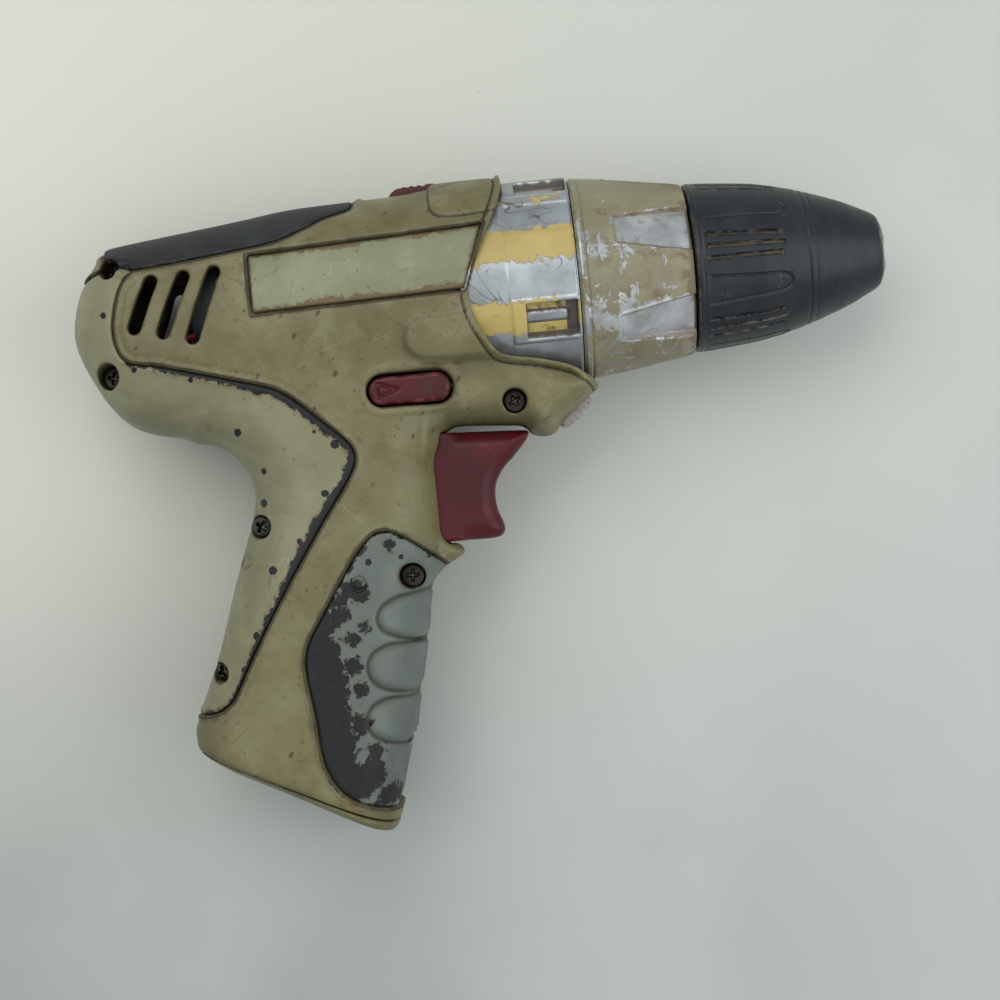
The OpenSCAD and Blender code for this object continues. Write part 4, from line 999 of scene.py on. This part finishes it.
# ---------------------------------------------------------------- screws
def screws():
    V, Q, n0 = [], [], 0
    for i, (sx, sy, r, top) in enumerate(SCREWS):
        r = min(r, 2.75) - 0.12
        g = Grid(sx - 3.4, sx + 3.4, sy - 3.4, sy + 3.4, top - 3.2, top + 0.9, 0.18)
        x, y = g.X - sx, g.Y - sy
        rad = np.hypot(x, y)[:, :, None]
        dome = g.Z - (top - 0.35 + 0.55 * np.sqrt(np.clip(1 - (rad / (r * 1.35)) ** 2, 0, 1)) - 0.2)
        F = smax(np.maximum(rad - r, dome), (top - 2.6) - g.Z, 0.25)
        c, s = math.cos(0.5 + i), math.sin(0.5 + i)
        u, w = np.abs(x * c + y * s), np.abs(-x * s + y * c)
        cross = np.minimum(np.maximum(u - 1.5, w - 0.38), np.maximum(w - 1.5, u - 0.38))[:, :, None]
        F = smax(F, -np.maximum(cross + 0.12 * (top - g.Z), (top - 1.7) - g.Z), 0.12)
        shank = np.maximum(rad - 1.5, g.Z - (top - 2.2))
        F = np.minimum(F, shank + 0 * F)
        F[:, :, 0] = np.maximum(F[:, :, 0], 0.05)
        v, q = nets(F, g)
        v = relax(v, q, 1, 0.3)
        V.append(v)
        Q.append(q + n0)
        n0 += len(v)
        k = 20
        a = np.arange(k) / k * 2 * np.pi
        ring = [np.stack([sx + 1.45 * np.cos(a), sy + 1.45 * np.sin(a), np.full(k, z)], 1) for z in (-7.4, top - 2.5)]
        inner = [np.stack([sx + 0.2 * np.cos(a), sy + 0.2 * np.sin(a), np.full(k, z)], 1) for z in (-7.5, top - 2.45)]
        rows = [inner[0], ring[0], ring[1], inner[1]]
        V.append(np.concatenate(rows))
        qq = []
        for j in range(3):
            for b in range(k):
                c2 = (b + 1) % k
                qq.append([n0 + j * k + b, n0 + j * k + c2, n0 + (j + 1) * k + c2, n0 + (j + 1) * k + b])
        for j in (0, 3):
            for b in range(0, k // 2 - 1):
                p = [n0 + j * k + b, n0 + j * k + b + 1, n0 + j * k + k - 2 - b, n0 + j * k + k - 1 - b]
                qq.append(p[::-1] if j == 0 else p)
        Q.append(np.array(qq))
        n0 += 4 * k
    return np.concatenate(V), np.concatenate(Q)


v, q = screws()
build("case_screws", v, q, SCREWM, "body", ("housing_screws",), {})


# ---------------------------------------------------------------- turned pieces
def turned(xs, R, inner, name, mat, body, replaced, attrs, nth):
    """A closed ring of revolution. R is [station, angle]; inner is a list of (x, r) from front to rear."""
    n = R.shape[0]
    a = np.arange(nth) / nth * 2 * np.pi
    rows, at = [], {k: [] for k in attrs}
    for i in range(n):
        xx = xs[i] if np.ndim(xs[i]) else np.full(nth, xs[i])
        rows.append(np.stack([xx, R[i] * np.sin(a), R[i] * np.cos(a)], 1))
        for k, A in attrs.items():
            at[k].append(A[i])
    for x, r in inner:
        rows.append(np.stack([np.full(nth, x), r * np.sin(a), r * np.cos(a)], 1))
        for k in attrs:
            at[k].append(np.full(nth, -5.0 if k == "foil" else 0.25 if k == "low" else 0.0))
    m = len(rows)
    V = np.concatenate(rows)
    i, j = np.meshgrid(np.arange(m), np.arange(nth), indexing="ij")
    i2, j2 = (i + 1) % m, (j + 1) % nth
    Q = np.stack([i * nth + j, i2 * nth + j, i2 * nth + j2, i * nth + j2], -1).reshape(-1, 4)
    # xs runs rear to front here; flip if the volume is negative
    p = V[Q]
    vol = np.einsum("ij,ij->", p[:, 0], np.cross(p[:, 1], p[:, 2])) + np.einsum("ij,ij->", p[:, 0], np.cross(p[:, 2], p[:, 3]))
    if vol < 0:
        Q = Q[:, ::-1]
    ob = build(name, V, Q, mat, body, replaced, {k: np.concatenate(w) for k, w in at.items()})
    ob.data.set_sharp_from_angle(angle=math.radians(50))
    return ob


def wrap(a):
    return (a + 180) % 360 - 180


NT = 900
deg = np.arange(NT) / NT * 360.0  # angle from +Z towards +Y


def near(step, first):
    """Angle in degrees to the nearest of the centres first + k*step."""
    k = np.round((deg - first) / step)
    return deg - first - k * step


def smooth_block(d, half, soft):
    """1 inside +-half of the centre line, falling to 0 over soft."""
    return 1 - sm(half - soft, half + soft, np.abs(d))


# gear case nose: four blocks with notches cut in their front
def nose():
    xs = np.concatenate([np.linspace(-100.0, -90.5, 8), np.linspace(-90.2, -73.3, 110)])
    R, foil, low = [], [], []
    dn = near(90, 63.5)
    mm = dn * math.pi / 180 * 24
    hn = 4.1
    y = 24 * np.sin(np.radians(deg))
    for x in xs:
        blk = 0.78 + 0.14 * sm(-89.5, -88.9, x)
        r = 23.15 + blk + 0.0 * deg
        pad_x = sm(-85.9, -85.4, x) * (1 - sm(-74.2, -73.8, x))
        notch = smooth_block(mm, hn, 0.3) * pad_x
        wall = smooth_block(mm, hn + 1.2, 0.4) * sm(-89.2, -88.4, x) - smooth_block(mm, hn + 0.2, 0.4) * pad_x
        r = r + 0.32 * np.clip(wall, 0, 1)
        # the ledge between the upper flank and the middle block
        r = r - 0.45 * sm(9.0, 10.6, y) * (1 - sm(16.2, 17.2, y)) * sm(-90.0, -88.5, x)
        r = r - 2.3 * notch
        bar = smooth_block(mm - 0.6, 1.5, 0.9) * (1 - sm(-77.0, -75.4, x))
        r = r + 0.9 * bar * notch
        r = np.minimum(r, 24.42) - 0.5 * sm(-73.9, -73.3, x)
        R.append(r)
        band = lambda a, b: np.minimum(y - a, b - y)
        f = np.full(NT, -3.0)
        f = np.maximum(f, band(10.8, 17.6) * 0.9 - 0.1)
        f = np.maximum(f, band(-5.9, 2.6) * 1.05 + 0.3)
        f = np.maximum(f, (-13.2 - y) * 1.2 + 0.4)
        f = np.maximum(f, (y - 18.0) * 0.5 + 0.2)
        f = f + 0.5 * sm(-77, -73.5, x) - 0.5 * sm(-93, -97, x)
        f = f * (1 - notch) + notch * (3.0 + 3.0 * bar)
        foil.append(f)
        low.append(np.clip(notch * (0.95 - 0.85 * bar) + 0.3 * smooth_block(np.abs(mm) - hn, 0.5, 0.4) * pad_x, 0, 1) + 0.2 * sm(-74.4, -73.4, x))
    inner = [(-73.2, 22.4), (-73.2, 14), (-48.2, 14), (-48.2, 13.3), (-46.9, 13.3), (-46.9, 14), (-46.6, 14), (-46.6, 11), (-58, 11), (-58, 6.6), (-76, 6.6), (-76, 18.2),
             (-101.6, 18.2), (-101.6, 20.2), (-76.6, 20.2), (-76.6, 22.0), (-100.0, 22.0)]
    return turned(xs, np.array(R), inner, "nose_shell", FOIL, "body", ("gear_case",), {"foil": foil, "low": low}, NT)


def torque():
    xs = np.linspace(-73.0, -46.6, 130)
    R, foil, low = [], [], []
    d = near(60, 22.0)
    for x in xs:
        t = (x + 73) / 26.4
        cone = 24.0 - 3.35 * t
        r = cone + 0 * deg
        r -= 0.7 * (1 - sm(-73.0, -72.2, x)) + 0.5 * sm(-47.2, -46.6, x)
        r -= 0.28 * np.exp(-(((x + 71.0) / 0.22) ** 2))
        half = 8.3 + 7.2 * np.clip((x + 64) / 17, 0, 1)
        mmd = (np.abs(d) - half) * math.pi / 180 * cone
        inside = (1 - sm(-0.45, 0.25, mmd)) * sm(-64.4, -63.5, x)
        depth = 0.60 + 0.95 * np.clip((x + 64) / 17, 0, 1)
        r = r - depth * inside
        rim = np.exp(-((np.maximum(np.abs(mmd - 0.45), 0) / 0.38) ** 2)) * sm(-64.4, -63.7, x) * (1 - sm(-48.4, -47.4, x))
        rim = np.maximum(rim, np.exp(-(((x + 64.5) / 0.4) ** 2)) * (mmd < 0.5))
        r = r + 0.16 * rim
        R.append(r)
        y = cone * np.sin(np.radians(deg))
        f = -0.95 + 2.4 * inside + 1.2 * np.exp(-((y + 11) / 4.5) ** 2) + 0.9 * np.exp(-((y - 3.5) / 3.5) ** 2) * sm(-58, -66, x)
        f = f + 0.9 * rim - 0.7 * sm(10, 20, y) * (1 - inside)
        f = f + 1.1 * np.exp(-(((x + 72.2) / 0.7) ** 2))
        foil.append(f)
        low.append(0.16 + 0.65 * (1 - sm(0.0, 0.5, np.abs(mmd + 0.15))) * sm(-64.4, -63.5, x) + 0.45 * np.exp(-((np.abs(x + 46.6) / 1.2) ** 2)) + 0.12 * (np.abs(mmd) < 2.5) + 0.3 * np.exp(-((y + 3) / 3) ** 2) * sm(-60, -50, x) + 0 * deg)
    inner = [(-46.6, 19.2), (-46.7, 17.1), (-48.2, 17.0), (-48.35, 14.5), (-50.9, 14.5), (-51.05, 18.45), (-72.8, 18.45), (-73.0, 19.2)]
    return turned(xs, np.array(R), inner, "torque_shell", RING, "torque_ring", ("torque_ring",), {"foil": foil, "low": low}, NT)


def sleeve():
    key = [(-46, 19.4), (-45.6, 19.85), (-44.8, 20.0), (-40, 19.6), (-35, 19.15), (-30, 18.6), (-25, 17.6), (-20, 16.3), (-15, 14.7), (-10, 12.9), (-7, 11.6), (-5, 10.6), (-3.4, 9.8), (-2.2, 9.2), (-1.4, 8.7), (-0.9, 8.2)]
    kx, kr = [p[0] for p in key], [p[1] for p in key]
    xs = np.unique(np.concatenate([np.linspace(-46, -0.9, 240), np.array([-45.9, -45.7])]))
    R, edge, low = [], [], []
    d6 = near(60, 8.0)      # centres of the slot groups
    p6 = near(60, 38.0)     # centres of the flat pads
    smooth_r = np.interp(xs, kx, kr)
    for _ in range(6):
        smooth_r[1:-1] = 0.25 * smooth_r[:-2] + 0.5 * smooth_r[1:-1] + 0.25 * smooth_r[2:]
    for i, x in enumerate(xs):
        rr = smooth_r[i]
        r = rr + 0 * deg
        k = math.pi / 180 * rr
        tt = np.clip((x + 43.5) / 19.0, 0, 1)
        slots = 0 * deg
        for c in (-8.5, 0.0, 8.5):
            dd = np.abs(d6 - c * (1 - 0.10 * tt)) * k
            ends = sm(-43.6, -42.6, x) * (1 - sm(-26.2 + 0.9 * (c == 0), -25.2 + 0.9 * (c == 0), x))
            slots = np.maximum(slots, (1 - sm(0.28, 0.72, dd)) * ends)
        # U-shaped line round each pad, narrowing forwards
        hw = 9.6 - 3.2 * tt
        end = -23.6
        ud = np.abs(p6) * k - hw * k
        ux = x - end
        ring = np.where(x < end - 3, np.abs(ud), np.abs(np.hypot(np.maximum(np.abs(p6) * k - hw * k + 3, 0), max(0, ux + 3)) - 3))
        uline = (1 - sm(0.16, 0.5, ring)) * sm(-43.5, -42.5, x)
        r = r - 0.85 * slots - 0.32 * uline
        pad = 1 - sm(-0.3, 0.3, ud) if x < end else 0
        r = r - 0.10 * pad * sm(-44, -43, x)
        r = r - 0.22 * np.exp(-(((x + 19.2) / 0.22) ** 2)) - 0.16 * np.exp(-(((x + 17.6) / 0.2) ** 2))
        for gx in np.arange(-15.6, -4.5, 0.9):
            r = r - 0.035 * np.exp(-(((x - gx) / 0.25) ** 2))
        r = r - 0.25 * np.exp(-(((x + 44.2) / 0.2) ** 2))
        R.append(r)
        g = np.exp(-((wrap(deg - 8) / 14) ** 2)) + 0.55 * np.exp(-((wrap(deg - 68) / 14) ** 2)) + 0.4 * np.exp(-((wrap(deg + 52) / 14) ** 2))
        low.append(np.clip(slots * (0.45 + 0.45 * g) + uline * (0.35 + 0.25 * g), 0, 1) + 0 * deg)
        e = np.clip(4 * slots * (1 - slots), 0, 1) + np.clip(3 * uline * (1 - uline), 0, 1) * 0.7
        e = e + 0.9 * np.exp(-(((x + 1.1) / 0.5) ** 2)) + 0.6 * np.exp(-(((x + 45.6) / 0.4) ** 2))
        edge.append(e + 0 * deg)
    inner = [(-0.7, 7.7), (-0.8, 7.3), (-1.7, 7.05), (-5, 8.3), (-10, 10.8), (-20, 14.25), (-28.4, 14.4), (-28.45, 15.45), (-33.55, 15.45), (-33.6, 15.0), (-46.0, 15.0), (-46.05, 16.5)]
    inner = [(max(x, -46.0), r) for x, r in inner]
    return turned(xs, np.array(R), inner, "sleeve_shell", SLEEVE, "chuck_sleeve", ("chuck_sleeve",), {"edge": edge, "low": low}, NT)


def tip():
    xs = np.linspace(-1.6, -0.25, 8)
    R = np.array([6.95 - 0.25 * max(0.0, (x + 0.7) / 0.45) ** 2 + 0 * deg for x in xs])
    return turned(xs, R, [(-0.15, 6.4), (-0.2, 6.05), (-1.55, 6.15)], "tip_ring", STEEL, "spindle", (), {}, NT)


nose()
torque()
sleeve()
tip()


# ---------------------------------------------------------------- work light lens
def lens():
    g = Grid(-81.5, -70.5, -36.2, -26.2, -4.6, 4.6, 0.18)
    x, y = g.X, g.Y
    P = spline([(-79.9, -33.4, 1), (-73.4, -27.7, 1), (-71.9, -28.6), (-73.4, -31.0), (-76.6, -33.9), (-79.0, -34.9)], 3)
    F = smax(psdf(P, x, y)[:, :, None] + 0 * g.Z, g.AZ - 4.15, 0.7)
    a = math.radians(41)
    t = x * math.cos(a) + y * math.sin(a)
    out = line_d([(-80.5, -36.5), (-70.5, -28.0)], x, y)
    for k in np.arange(-4.5, 4.6, 1.5):
        c = t + 76.0 * math.cos(a) + 31.0 * math.sin(a) - k
        F = F + (0.12 * np.exp(-((c / 0.28) ** 2)) * np.exp(-((out / 1.8) ** 2)))[:, :, None]
    v, q = nets(F, g)
    return relax(v, q, 1, 0.4), q


LENSM = M("lens_clear", Roughness=0.2, IOR=1.49, Transmission_Weight=0.35, Coat_Weight=0.3)
LENSM = LENSM.out(LENSM.mix(LENSM.rng(LENSM.noise(320, 6, 0.7), 0.45, 0.7), lin(168, 160, 152), lin(120, 110, 102)),
                  LENSM.rng(LENSM.noise(500, 5, 0.7), 0.35, 0.7, 0.10, 0.42), None, LENSM.bump(LENSM.noise(420, 3, 0.5), 0.00003, 0.4))
v, q = lens()
build("lamp_lens", v, q, LENSM, "body", ("light_lens",), {})

# ---------------------------------------------------------------- CAD nodes that are kept
KEEP = {
    "ring_gear": STEEL, "shift_ring": STEEL, "shift_fork": STEEL, "clutch_pins": STEEL, "clutch_washer": STEEL, "clutch_spring": STEEL,
    "clutch_nut": BRONZE, "ring_clip": STEEL, "spindle_bearing": BRONZE, "spindle": STEEL, "stage_carrier": STEEL,
    "planet_2a": STEEL, "planet_2b": STEEL, "planet_2c": STEEL, "planet_1a": STEEL, "planet_1b": STEEL, "planet_1c": STEEL,
    "motor_pinion": BRONZE, "motor_plate": STEEL, "motor_can": CAN, "motor_magnets": MAGNET, "motor_end_cap": INNER, "motor_bearings": BRONZE,
    "motor_brushes": COPPER, "armature": COPPER, "cooling_fan": INNER, "trigger_spring": STEEL, "switch_body": INNER, "work_light": LEDM,
    "wires": WIREM, "battery_contacts": COPPER, "battery_cells": CELL, "battery_straps": STEEL,
    "chuck_body": STEEL, "chuck_screw": SCREWM, "chuck_nut": STEEL, "jaw_1": STEEL, "jaw_2": STEEL, "jaw_3": STEEL}
for name, mat in KEEP.items():
    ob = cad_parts[name]
    ob.data.materials.clear()
    ob.data.materials.append(mat)
    for poly in ob.data.polygons:
        poly.material_index = 0

# ---------------------------------------------------------------- floor and light
FLOOR_Z = min(v[2] for v in [cad_box[0]]) - 0.0002
me = bpy.data.meshes.new("floor")
n = 2
me.from_pydata([(-3, -3, FLOOR_Z), (3, -3, FLOOR_Z), (3, 3, FLOOR_Z), (-3, 3, FLOOR_Z)], [], [(0, 1, 2, 3)])
fl = M("floor_painted_falloff", Roughness=0.75)
pos = fl.n("ShaderNodeSeparateXYZ")
fl.put(pos.inputs[0], fl.co)
# painted light falloff and a painted shadow: the floor colour is lightest at the top left, darker to the right and
# darkest towards the bottom left
across = fl.rng(pos.outputs[0], -0.215, 0.03, 0.0, 1.0, False)
down = fl.rng(pos.outputs[1], 0.0, -0.18, 0.0, 1.0)
tint_with_painted_falloff = fl.mix(across, lin(207, 207, 195), lin(182, 186, 179))
tint_with_painted_falloff = fl.mix(down, tint_with_painted_falloff, fl.mix(across, lin(147, 153, 150), lin(174, 178, 176)))
tint_with_painted_falloff = fl.mix(fl.rng(fl.noise(14, 3, 0.5), 0.35, 0.7, 0.0, 0.25), tint_with_painted_falloff, lin(196, 200, 195))
speck = fl.rng(fl.cells(26), 0.012, 0.006)
tint_with_painted_falloff = fl.mix(fl.op("MULTIPLY", speck, 0.35), tint_with_painted_falloff, lin(150, 150, 146))
me.materials.append(fl.out(tint_with_painted_falloff, 0.8, None, fl.bump(fl.noise(180, 5, 0.6), 0.0003, 0.25)))
floor = bpy.data.objects.new("floor", me)
scene.collection.objects.link(floor)

world = bpy.data.worlds.new("soft_room")
world.use_nodes = True
bg = world.node_tree.nodes["Background"]
bg.inputs[0].default_value = (0.93, 0.97, 1.0, 1)
bg.inputs[1].default_value = 0.56
scene.world = world


def area(name, loc, target, size, power, color=(1, 1, 1)):
    L = bpy.data.lights.new(name, "AREA")
    L.shape, L.size, L.size_y = "RECTANGLE", size[0], size[1]
    L.energy, L.color = power, color
    o = bpy.data.objects.new(name, L)
    scene.collection.objects.link(o)
    o.location = loc
    d = np.array(target, float) - np.array(loc, float)
    d /= np.linalg.norm(d)
    o.rotation_euler = (math.acos(-d[2]), 0, math.atan2(-d[0], d[1]))
    return o


area("window", (-0.42, 0.50, 0.95), (-0.10, -0.02, -0.02), (1.0, 0.7), 5.2, (1.0, 0.985, 0.95))
area("ceiling", (0.0, 0.05, 1.5), (-0.10, -0.05, 0), (1.8, 1.8), 5.0, (0.97, 0.99, 1.0))
area("fill", (0.62, -0.12, 0.52), (-0.05, -0.06, -0.02), (0.8, 0.8), 3.5, (0.96, 0.98, 1.0))
